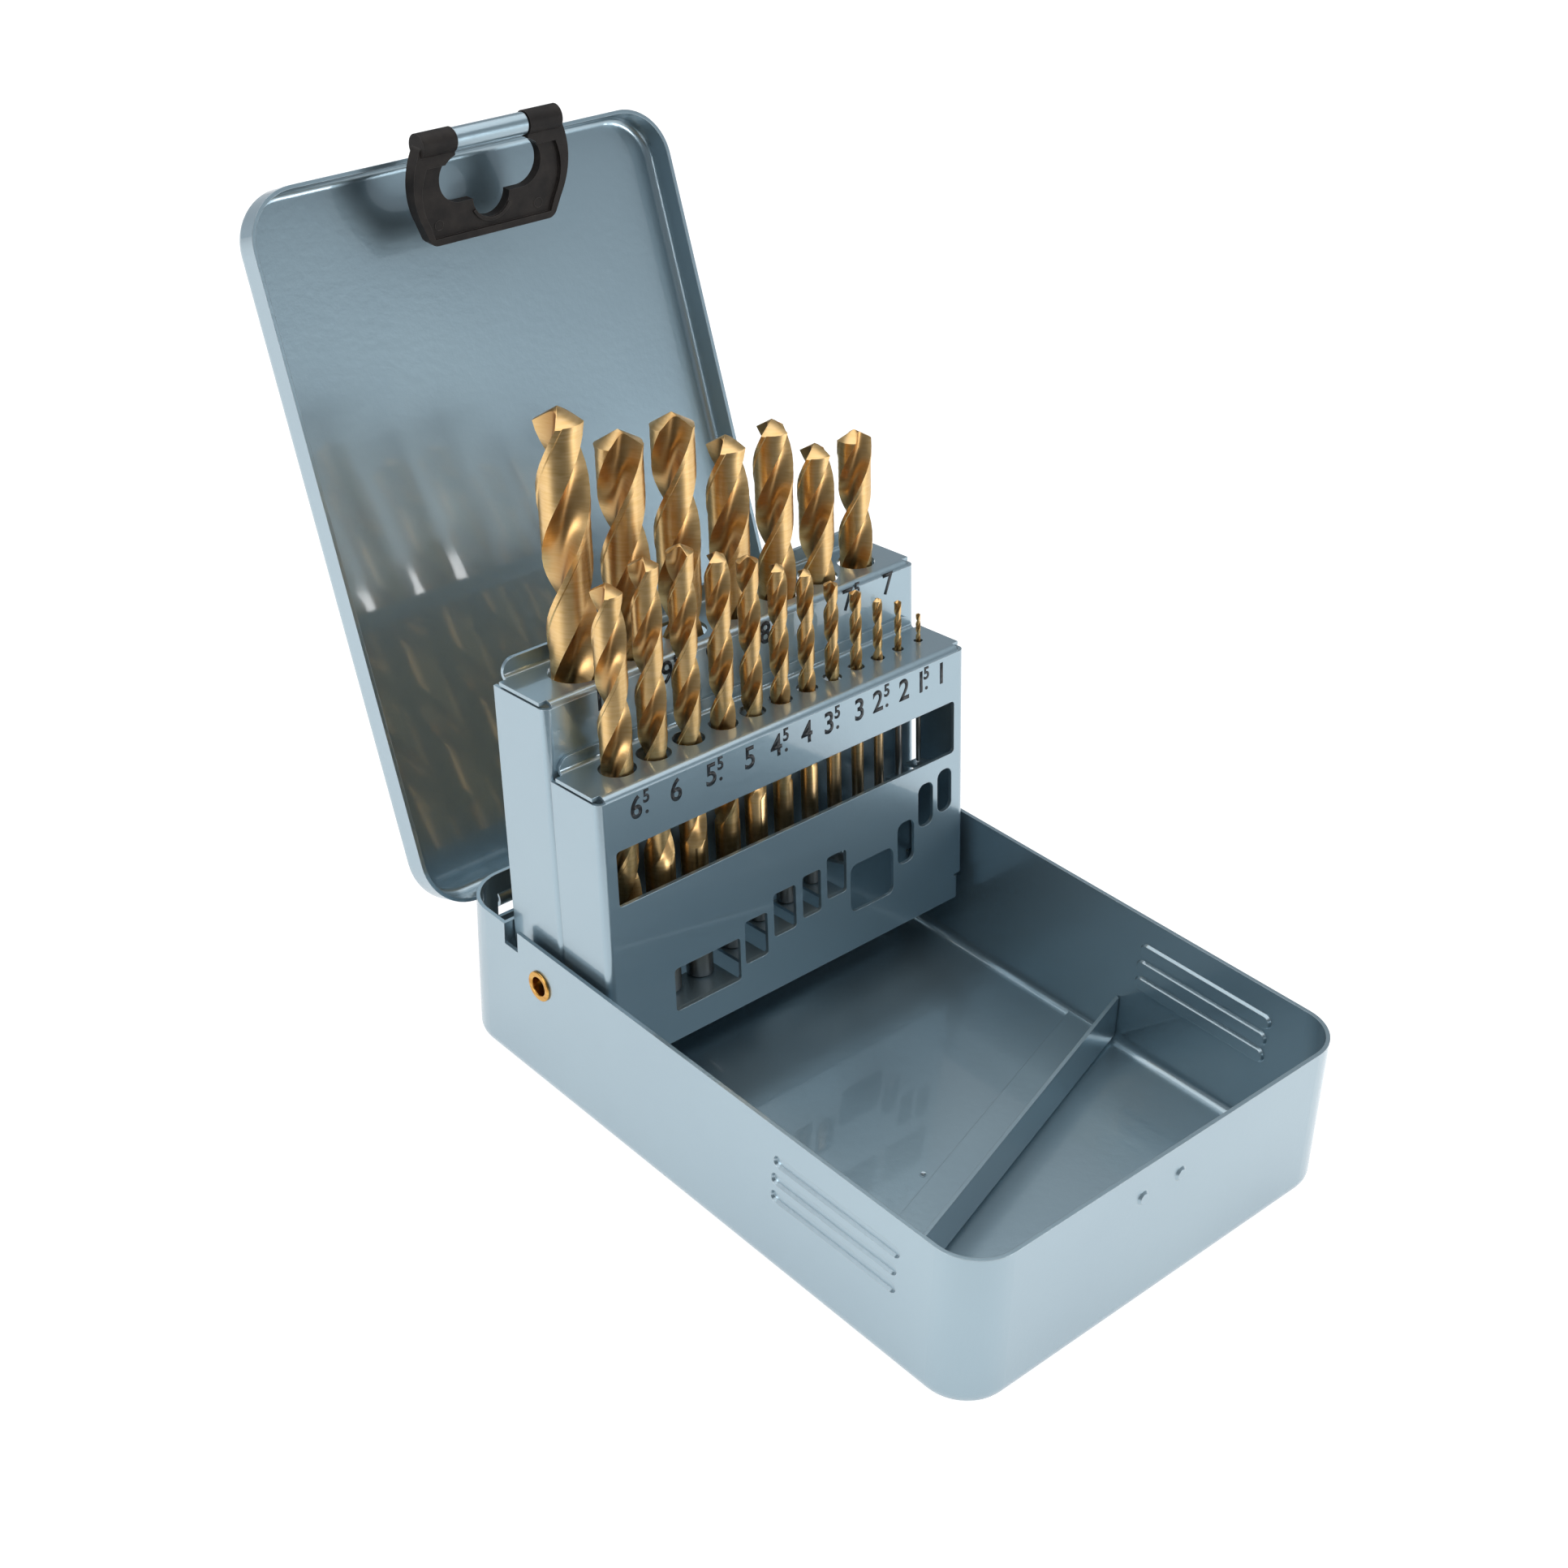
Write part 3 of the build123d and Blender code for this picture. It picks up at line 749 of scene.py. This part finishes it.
@dataclass
class DrillSet:
    """The nineteen drills: each stands where its CAD solid stands."""

    grinder: DrillGrinder
    # Diameter, flute length and the angle in degrees that the drill is turned to in its hole
    drills: Rows = (
        (1.0, 12, 0), (1.5, 18, 40), (2.0, 24, 80), (2.5, 30, 20), (3.0, 33, 60),
        (3.5, 39, 157), (4.0, 43, 2), (4.5, 47, 106), (5.0, 52, 25), (5.5, 57, 91),
        (6.0, 57, 126), (6.5, 63, 100), (7.0, 69, 10), (7.5, 69, 105), (8.0, 75, 90),
        (8.5, 75, 144), (9.0, 81, 30), (9.5, 81, 70), (10.0, 87, 163),
    )
    bare_end: float = 13.0
    small_drill: float = 2.0
    small_bare_end: float = 20.0

    @staticmethod
    def node_name(diameter: float) -> str:
        """Return the name of a drill's CAD node."""
        return f"drill_{diameter:.1f}mm".replace(".", "_")

    def build(self, nodes: dict[str, Object], finish: Material) -> None:
        """Grind each drill and stand it in the rack.

        Args:
            nodes: The CAD nodes by name.
            finish: The coat.
        """
        for diameter, flute, phase in self.drills:
            node = nodes[self.node_name(diameter)]
            points = np.array([vertex.co for vertex in node.data.vertices])
            along = points @ np.array(RACK_UP)
            back = points @ np.array(RACK_BACK)
            x_middle = (points[:, 0].max() + points[:, 0].min()) / 2
            back_middle = (back.max() + back.min()) / 2
            length = float(along.max() - along.min()) / MM
            bare = self.small_bare_end if diameter <= self.small_drill else self.bare_end
            name = f"twist_{self.node_name(diameter)}"
            drill = self.grinder.grind(name, diameter, length, flute, bare)
            foot = Vector((x_middle, 0, 0)) + RACK_BACK * back_middle + RACK_UP * float(along.min())
            lean = Matrix.Rotation(-RACK_LEAN, 4, "X")
            turn = Matrix.Rotation(math.radians(phase), 4, "Z")
            set_in_place(drill, Matrix.Translation(foot) @ lean @ turn)
            dress(drill, finish, node["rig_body"])
            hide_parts(node.name)


# Size marks -------------------------------------


@dataclass
class SizeMarks:
    """Plain drill sizes printed above the windows and on the rear panel."""

    digit_height: float = 4.7
    digit_width_share: float = 0.9
    half_height: float = 2.7
    half_rise: float = 2.5
    dot_size: float = 0.8
    dot_sides: int = 16
    half_gap: float = 0.25
    dot_gap: float = 1.1
    # Height of a capital as a share of the face's size
    capital_share: float = 0.72
    stroke_swell: float = 0.028
    half_swell: float = 0.04
    ink_lift: float = 0.03
    front_face: float = -20.0
    front_up: float = 41.4
    rear_face: float = -5.5
    rear_up: float = 57.2
    # Drill size and the middle of its mark along the rack
    front_marks: Rows = (
        (6.5, -38.9), (6.0, -29.3), (5.5, -20.7), (5.0, -11.0), (4.5, -4.2), (4.0, 3.8),
        (3.5, 9.7), (3.0, 17.9), (2.5, 23.0), (2.0, 30.3), (1.5, 35.1), (1.0, 40.9),
    )
    rear_marks: Rows = (
        (10.0, -33.0), (9.5, -18.6), (9.0, -7.4), (8.5, 6.5), (8.0, 17.4), (7.5, 28.8), (7.0, 40.0),
    )

    def text(self, body: str, height: float, x: float, y: float, swell: float) -> Object:
        """Write one figure as a flat mesh.

        Args:
            body: The figure.
            height: Its height in millimetres.
            x: Left end of the figure.
            y: Its foot line.
            swell: How much its strokes are thickened, as a share of its height.

        Returns:
            The mesh object.
        """
        bpy.ops.object.text_add(location=(0, 0, 0))
        figure = bpy.context.object
        figure.data.body = body
        figure.data.size = height / self.capital_share * MM
        figure.data.offset = swell * height * MM
        bpy.ops.object.convert(target="MESH")
        scale = Matrix.Diagonal((self.digit_width_share, 1.0, 1.0, 1.0))
        set_in_place(figure, Matrix.Translation((x * MM, y * MM, 0)) @ scale)
        return figure

    def label(self, size: float, x: float) -> list[Object]:
        """Write one size, a half as a small raised 5 above a point.

        Args:
            size: The drill's diameter.
            x: Middle of the whole figure.

        Returns:
            The meshes of the label.
        """
        figure = self.text(f"{int(size)}", self.digit_height, 0, 0, self.stroke_swell)
        right = max(vertex.co.x for vertex in figure.data.vertices) / MM
        left = min(vertex.co.x for vertex in figure.data.vertices) / MM
        shift = x - (left + right) / 2
        figure.data.transform(Matrix.Translation((shift * MM, 0, 0)))
        pieces = [figure]
        if size != int(size):
            edge = x + (right - left) / 2
            pieces.append(
                self.text("5", self.half_height, edge + self.half_gap, self.half_rise, self.half_swell)
            )
            radius = self.dot_size / 2
            pieces.append(add_disc("half_dot", self.dot_sides, radius, (edge + self.dot_gap, radius, 0)))
        return pieces

    def print_row(self, name: str, marks: Rows, place: Matrix) -> Object:
        """Print one row of marks as a single thin piece.

        Args:
            name: Name of the piece.
            marks: Each size and its place along the rack.
            place: Matrix of the panel's frame.

        Returns:
            The piece.
        """
        pieces = [piece for size, x in marks for piece in self.label(size, x)]
        make_active(pieces[0])
        for piece in pieces:
            piece.select_set(True)
        bpy.ops.object.join()
        row = bpy.context.object
        row.name = row.data.name = name
        with editing():
            bpy.ops.mesh.remove_doubles(threshold=MERGE_DISTANCE)
            extrude(0, 0, self.ink_lift * MM)
            face_outward()
        set_in_place(row, place)
        return row

    def build(self, pivot: Vector, finish: Material) -> None:
        """Print both rows on the rack.

        Args:
            pivot: The rack's pivot.
            finish: The ink.
        """
        for name, marks, back, up in (
            ("size_marks_front", self.front_marks, self.front_face, self.front_up),
            ("size_marks_rear", self.rear_marks, self.rear_face, self.rear_up),
        ):
            row = self.print_row(name, marks, rack_matrix(pivot, back * MM, up * MM))
            dress(row, finish, "holder")


# Eyelets ----------------------------------------


@dataclass
class RolledEyelet:
    """A brass eyelet whose flange is rolled over: the plain tube with its edges rounded."""

    roll: float = 0.22
    segments: int = 4
    sharp_angle: float = 50.0
    smooth_angle: float = 40.0

    def build(self, node: Object, finish: Material) -> None:
        """Round one eyelet.

        Args:
            node: The eyelet's CAD node.
            finish: The brass.
        """
        eyelet = copy_solid(node, f"rolled_{node.name}")
        rounding = eyelet.modifiers.new("rolled_edge", "BEVEL")
        rounding.width = self.roll * MM
        rounding.segments = self.segments
        rounding.limit_method = "ANGLE"
        rounding.angle_limit = math.radians(self.sharp_angle)
        bpy.ops.object.modifier_apply(modifier=rounding.name)
        smooth(eyelet, self.smooth_angle)
        dress(eyelet, finish, node["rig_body"])
        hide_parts(node.name)


@dataclass
class SpotWelds:
    """Small raised marks that the divider's spot welds leave beside its foot."""

    places: Rows = ((38.2, -12.4), (31.4, -16.4), (-10.8, -23.4))
    radius: float = 0.75
    rise: float = 0.12
    floor: float = 0.8
    sides: int = 20
    # Widths of the crown and of its slope down to the dish, as shares of the radius
    crown: float = 0.3
    slope: float = 0.2
    dish: float = 0.8
    smooth_angle: float = 60.0

    def build(self, finish: Material) -> None:
        """Raise each mark on the tray's floor.

        Args:
            finish: The enamel.
        """
        for number, (x, y) in enumerate(self.places, start=1):
            weld = add_disc(f"spot_weld_{number}", self.sides, self.radius, (x, y, self.floor))
            with editing():
                extrude(0, 0, self.rise * MM)
                bpy.ops.mesh.inset(thickness=self.radius * self.crown * MM)
                bpy.ops.mesh.inset(thickness=self.radius * self.slope * MM)
                bpy.ops.transform.translate(value=(0, 0, -self.rise * self.dish * MM))
                face_outward()
            smooth(weld, self.smooth_angle)
            dress(weld, finish, "base")


# Hanger -----------------------------------------


@dataclass
class HangerMoulding:
    """The hanger's plate with its raised rim, and the marks of two ejector pins."""

    barrel_radius: float = 2.6
    thickness: float = 3.0
    # Half widths of the recess and their heights under the curl's axis
    recess_top: tuple[float, float] = (15.8, -4.4)
    recess_waist: tuple[float, float] = (17.1, -10.3)
    recess_foot: tuple[float, float] = (15.5, -16.0)
    recess_end: tuple[float, float] = (14.4, -19.1)
    recess: float = 0.8
    arc_steps: int = 12
    plate_smooth: float = 30.0
    collar_radius: float = 4.95
    collar_thickness: float = 0.7
    collar_drop: float = 12.8
    collar_half_angle: float = 62.0
    collar_steps: int = 20
    collar_smooth: float = 40.0
    ejector_places: Rows = ((-13.0, -16.6), (11.6, -16.9))
    ejector_radius: float = 1.1
    ejector_ridge: float = 0.14
    ejector_sides: int = 32
    ejector_smooth: float = 50.0

    def recess_outline(self) -> list[tuple[float, float]]:
        """Return the recess's outline seen from the front: a curve down each side and a flat foot."""
        top, waist, foot = self.recess_top, self.recess_waist, self.recess_foot
        control = [2 * waist[i] - (top[i] + foot[i]) / 2 for i in (0, 1)]
        side = []
        for step in range(self.arc_steps + 1):
            t = step / self.arc_steps
            s = 1.0 - t
            x, z = (top[i] * s * s + control[i] * 2 * s * t + foot[i] * t * t for i in (0, 1))
            side.append((x, z))
        side.append(self.recess_end)
        return side + [(-x, z) for x, z in reversed(side)]

    def cutter(self, face_y: float, curl_z: float) -> Object:
        """Raise a block of the recess's outline that reaches into the plate's front.

        Args:
            face_y: Place of the plate's front face.
            curl_z: Height of the curl's axis.

        Returns:
            The block.
        """
        outline = self.recess_outline()
        block = add_disc("recess_block", len(outline), 1.0)
        for vertex, (x, z) in zip(block.data.vertices, outline):
            vertex.co = (x * MM, face_y - self.recess * MM, curl_z + z * MM)
        with editing():
            extrude(0, 2 * self.recess * MM, 0)
            face_outward()
        return block

    def plate(self, node: Object, face_y: float, curl_z: float) -> Object:
        """Copy the solid and sink its front face inside a rim.

        Args:
            node: The hanger's CAD node.
            face_y: Place of the plate's front face.
            curl_z: Height of the curl's axis.

        Returns:
            The finished plate.
        """
        block = self.cutter(face_y, curl_z)
        plate = copy_solid(node, "hanger_moulding")
        sink = plate.modifiers.new("recess", "BOOLEAN")
        sink.operation = "DIFFERENCE"
        sink.solver = "EXACT"
        sink.object = block
        bpy.ops.object.modifier_apply(modifier=sink.name)
        bpy.data.objects.remove(block)
        bpy.ops.mesh.customdata_custom_splitnormals_clear()
        smooth(plate, self.plate_smooth)
        return plate

    def collar(self, floor_y: float, curl_z: float) -> Object:
        """Spin the thin ridge that runs round the lower side of the slot's bump.

        Args:
            floor_y: Place of the recess's floor.
            curl_z: Height of the curl's axis.

        Returns:
            The ridge.
        """
        half = math.radians(self.collar_half_angle)
        axis = Vector((0.0, floor_y, curl_z - self.collar_drop * MM))
        start = Vector((-math.sin(half), 0.0, -math.cos(half))) * self.collar_radius * MM
        bpy.ops.mesh.primitive_plane_add(size=self.collar_thickness * MM, location=(0, 0, 0))
        ridge = bpy.context.object
        ridge.name = ridge.data.name = "slot_collar"
        turn = Matrix.Rotation(half, 4, "Y") @ Matrix.Rotation(QUARTER_TURN, 4, "Y")
        set_in_place(ridge, Matrix.Translation(axis + start) @ turn)
        with editing():
            bpy.ops.mesh.spin(steps=self.collar_steps, angle=2 * half, center=axis, axis=(0, 1, 0))
            face_outward()
        smooth(ridge, self.collar_smooth)
        return ridge

    def ejector_mark(self, name: str, centre: Vector) -> Object:
        """Raise the ring that an ejector pin leaves.

        Args:
            name: Name of the piece.
            centre: Middle of the ring, on the sunk face.

        Returns:
            The ring.
        """
        ring = add_disc(name, self.ejector_sides, self.ejector_radius)
        ridge = self.ejector_ridge * MM
        with editing():
            extrude(0, 0, ridge / 2)
            bpy.ops.mesh.inset(thickness=ridge, depth=0.0)
            extrude(0, 0, -ridge / 3)
            face_outward()
        set_in_place(ring, Matrix.Translation(centre) @ Matrix.Rotation(QUARTER_TURN, 4, "X"))
        smooth(ring, self.ejector_smooth)
        return ring

    def build(self, node: Object, finish: Material) -> None:
        """Make the plate and its marks.

        Args:
            node: The hanger's CAD node.
            finish: The plastic.
        """
        low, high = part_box(node.name)
        curl_z = high.z - self.barrel_radius * MM
        face_y = (low.y + high.y) / 2 - self.thickness / 2 * MM
        plate = self.plate(node, face_y, curl_z)
        dress(plate, finish, "hanger")
        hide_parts(node.name)
        floor_y = face_y + self.recess * MM
        dress(self.collar(floor_y, curl_z), finish, "hanger")
        for side, (x, drop) in zip(("left", "right"), self.ejector_places):
            centre = Vector((x * MM, floor_y, curl_z + drop * MM))
            dress(self.ejector_mark(f"ejector_mark_{side}", centre), finish, "hanger")


# Studio -----------------------------------------


@dataclass(frozen=True)
class Softbox:
    """A soft square lamp: where it hangs and its side, in metres, and its power in watts."""

    name: str
    place: Place
    side: float
    power: float


@dataclass
class Studio:
    """White floor and background, soft lamps and the camera."""

    lamps: tuple[Softbox, ...] = (
        Softbox("left_softbox", (-1.2, 0.2, 0.12), 0.45, 3.5),
        Softbox("right_softbox", (0.5, -1.2, 0.12), 0.45, 4.0),
        Softbox("top_softbox", (0.0, 0.0, 1.4), 2.0, 17.0),
    )
    lamp_aim: Place = (0.0, 0.03, 0.06)
    floor_size: float = 4.0
    floor_below: float = 0.0002
    camera_place: Place = (-0.27678, -0.26715, 0.31180)
    camera_azimuth: float = 41.346
    camera_elevation: float = 30.034
    camera_roll: float = 0.988
    focal_pixels: float = 2997.5
    sensor_width: float = 36.0
    near_clip: float = 0.01
    shift: tuple[float, float] = (0.0347, -0.0518)
    # Rise of a direction, from -1 straight down to 1 overhead, and the room's level there
    sky: Rows = ((-0.2, 0.1), (0.0, 0.62), (0.12, 0.5), (0.45, 0.26), (0.9, 0.24))
    sky_tint: Place = (0.92, 1.0, 1.07)
    # The room dims toward the camera: to this level, over these shares of facing it
    front_level: float = 0.55
    front_from: float = 0.3
    front_to: float = 0.9
    table_front: float = 0.165
    # Greys of the floor for the case's light and for the camera, and its glow for the camera and in
    # reflections
    card_grey: float = 0.86
    seen_grey: float = 0.35
    seen_glow: float = 0.92
    mirrored_glow: float = 0.47

    def camera(self) -> None:
        """Set the camera where it sees the case as wanted."""
        data = bpy.data.cameras.new("studio_camera")
        data.sensor_width = self.sensor_width
        data.lens = self.focal_pixels / IMAGE_SIDE * self.sensor_width
        data.shift_x, data.shift_y = self.shift
        data.clip_start = self.near_clip
        camera = bpy.data.objects.new("studio_camera", data)
        bpy.context.scene.collection.objects.link(camera)
        azimuth = math.radians(self.camera_azimuth)
        elevation = math.radians(self.camera_elevation)
        roll = math.radians(self.camera_roll)
        flat = Vector((math.sin(azimuth), math.cos(azimuth), 0.0)) * math.cos(elevation)
        forward = flat - Vector((0.0, 0.0, math.sin(elevation)))
        level = Vector((math.cos(azimuth), -math.sin(azimuth), 0.0))
        upright = level.cross(forward)
        right = level * math.cos(roll) + upright * math.sin(roll)
        up = right.cross(forward)
        turn = Matrix((right, up, -forward)).transposed().to_4x4()
        camera.matrix_world = Matrix.Translation(Vector(self.camera_place)) @ turn
        bpy.context.scene.camera = camera

    def toward_camera(self) -> Vector:
        """Return the level direction from the case to the camera."""
        azimuth = math.radians(self.camera_azimuth)
        return Vector((-math.sin(azimuth), -math.cos(azimuth), 0.0))

    @staticmethod
    def grey(level: float) -> Colour:
        """Return a linear grey."""
        return (level, level, level, 1.0)

    def floor(self) -> None:
        """Lay a white floor that keeps a faint shadow and ends in front of the case."""
        bpy.ops.mesh.primitive_plane_add(size=self.floor_size, location=(0, 0, 0))
        floor = bpy.context.object
        floor.name = floor.data.name = "studio_floor"
        turn = Matrix.Rotation(-math.radians(self.camera_azimuth), 4, "Z")
        centre = self.toward_camera() * (self.table_front - self.floor_size / 2)
        centre.z = -self.floor_below
        set_in_place(floor, Matrix.Translation(centre) @ turn)
        material = bpy.data.materials.new("white_floor")
        material.use_nodes = True
        graph = NodeGraph(material.node_tree)
        graph.tree.nodes.clear()
        out = graph.add("OutputMaterial")
        card = graph.add("BsdfDiffuse", Color=self.grey(self.card_grey))
        dim = graph.add("BsdfDiffuse", Color=self.grey(self.seen_grey))
        glow = graph.add("Emission", Strength=self.seen_glow)
        half_glow = graph.add("Emission", Strength=self.mirrored_glow)
        seen = graph.add("AddShader")
        mirrored = graph.add("AddShader")
        ray = graph.add("LightPath")
        in_gloss = graph.add("MixShader")
        pick = graph.add("MixShader")
        graph.wire(
            (dim, "BSDF", seen, 0),
            (glow, "Emission", seen, 1),
            (card, "BSDF", mirrored, 0),
            (half_glow, "Emission", mirrored, 1),
            (ray, "Is Glossy Ray", in_gloss, "Fac"),
            (card, "BSDF", in_gloss, 1),
            (mirrored, "Shader", in_gloss, 2),
            (ray, "Is Camera Ray", pick, "Fac"),
            (in_gloss, "Shader", pick, 1),
            (seen, "Shader", pick, 2),
            (pick, "Shader", out, "Surface"),
        )
        floor.data.materials.append(material)

    def world(self) -> None:
        """Light the studio: pale at the horizon, dimmer overhead, below and on the camera's side."""
        world = bpy.data.worlds.new("studio_world")
        bpy.context.scene.world = world
        world.use_nodes = True
        graph = NodeGraph(world.node_tree)
        back = graph.tree.nodes["Background"]
        out = graph.tree.nodes["World Output"]
        place = graph.add("TexCoord")
        split = graph.add("SeparateXYZ")
        height = graph.add("MapRange", From_Min=-1.0)
        stops = []
        for rise, level in self.sky:
            red, green, blue = (level * share for share in self.sky_tint)
            stops.append(((rise + 1.0) / 2.0, (red, green, blue, 1.0)))
        fade = graph.ramp(*stops)
        toward = graph.add("VectorMath", operation="DOT_PRODUCT")
        toward.inputs[1].default_value = self.toward_camera()
        front = graph.add(
            "MapRange", From_Min=self.front_from, From_Max=self.front_to, To_Min=1.0, To_Max=self.front_level
        )
        ray = graph.add("LightPath")
        white = graph.add("Background", Color=self.grey(1.0))
        pick = graph.add("MixShader")
        graph.wire(
            (place, "Generated", split, "Vector"),
            (split, "Z", height, "Value"),
            (height, "Result", fade, "Fac"),
            (place, "Generated", toward, 0),
            (toward, "Value", front, "Value"),
            (fade, "Color", back, "Color"),
            (front, "Result", back, "Strength"),
            (ray, "Is Camera Ray", pick, "Fac"),
            (back, "Background", pick, 1),
            (white, "Background", pick, 2),
            (pick, "Shader", out, "Surface"),
        )

    def lamp(self, softbox: Softbox) -> None:
        """Hang one lamp that points at the case and doesn't show itself."""
        data = bpy.data.lights.new(softbox.name, "AREA")
        data.size = softbox.side
        data.energy = softbox.power
        lamp = bpy.data.objects.new(softbox.name, data)
        bpy.context.scene.collection.objects.link(lamp)
        lamp.location = softbox.place
        aim = Vector(self.lamp_aim) - Vector(softbox.place)
        lamp.rotation_euler = aim.to_track_quat("-Z", "Y").to_euler()
        lamp.visible_camera = False

    def build(self) -> None:
        """Set up floor, world, lamps and camera."""
        bpy.context.scene.view_settings.view_transform = "Standard"
        self.camera()
        self.floor()
        self.world()
        for softbox in self.lamps:
            self.lamp(softbox)


# The case ---------------------------------------


@dataclass
class DrillCase:
    """The whole case: dresses the CAD nodes and adds the detailed pieces."""

    nodes: dict[str, Object]

    def pivot(self) -> Vector:
        """Return the rack's pivot, from the eyelets' middle."""
        low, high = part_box("eyelet_left")
        return Vector((0.0, (low.y + high.y) / 2, (low.z + high.z) / 2))

    def build(self) -> None:
        """Build every finish and piece in order."""
        skin = coated_surface_group()
        grinding = grinding_group()
        enamel = Enamel(skin).build()
        brass = TurnedMetal(
            grinding, "rolled_brass", low=srgb(196, 140, 66), high=srgb(226, 176, 98), roughness=0.25
        ).build()
        bright = TurnedMetal(
            grinding, "bright_pin_steel", low=srgb(150, 152, 155), high=srgb(190, 192, 195), roughness=0.3
        ).build()
        plastic = MouldedPlastic(skin).build()
        coat = NitrideCoat(grinding).build()
        ink = StampInk().build()
        for name in ("base_tray", "divider", "lid", "holder_front", "holder_rear"):
            give_finish(self.nodes[name], enamel)
        for name in ("eyelet_left", "eyelet_right"):
            RolledEyelet().build(self.nodes[name], brass)
        SpotWelds().build(enamel)
        for name in ("hinge_pin_left", "hinge_pin_right"):
            give_finish(self.nodes[name], bright)
        DrillSet(DrillGrinder()).build(self.nodes, coat)
        SizeMarks().build(self.pivot(), ink)
        HangerMoulding().build(self.nodes["hanger"], plastic)


def main() -> None:
    """Build the case and its studio."""
    logging.basicConfig(level=logging.INFO, format="%(name)s: %(message)s")
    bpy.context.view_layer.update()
    DrillCase(frame["nodes"]).build()
    Studio().build()


if __name__ == "__main__":
    main()
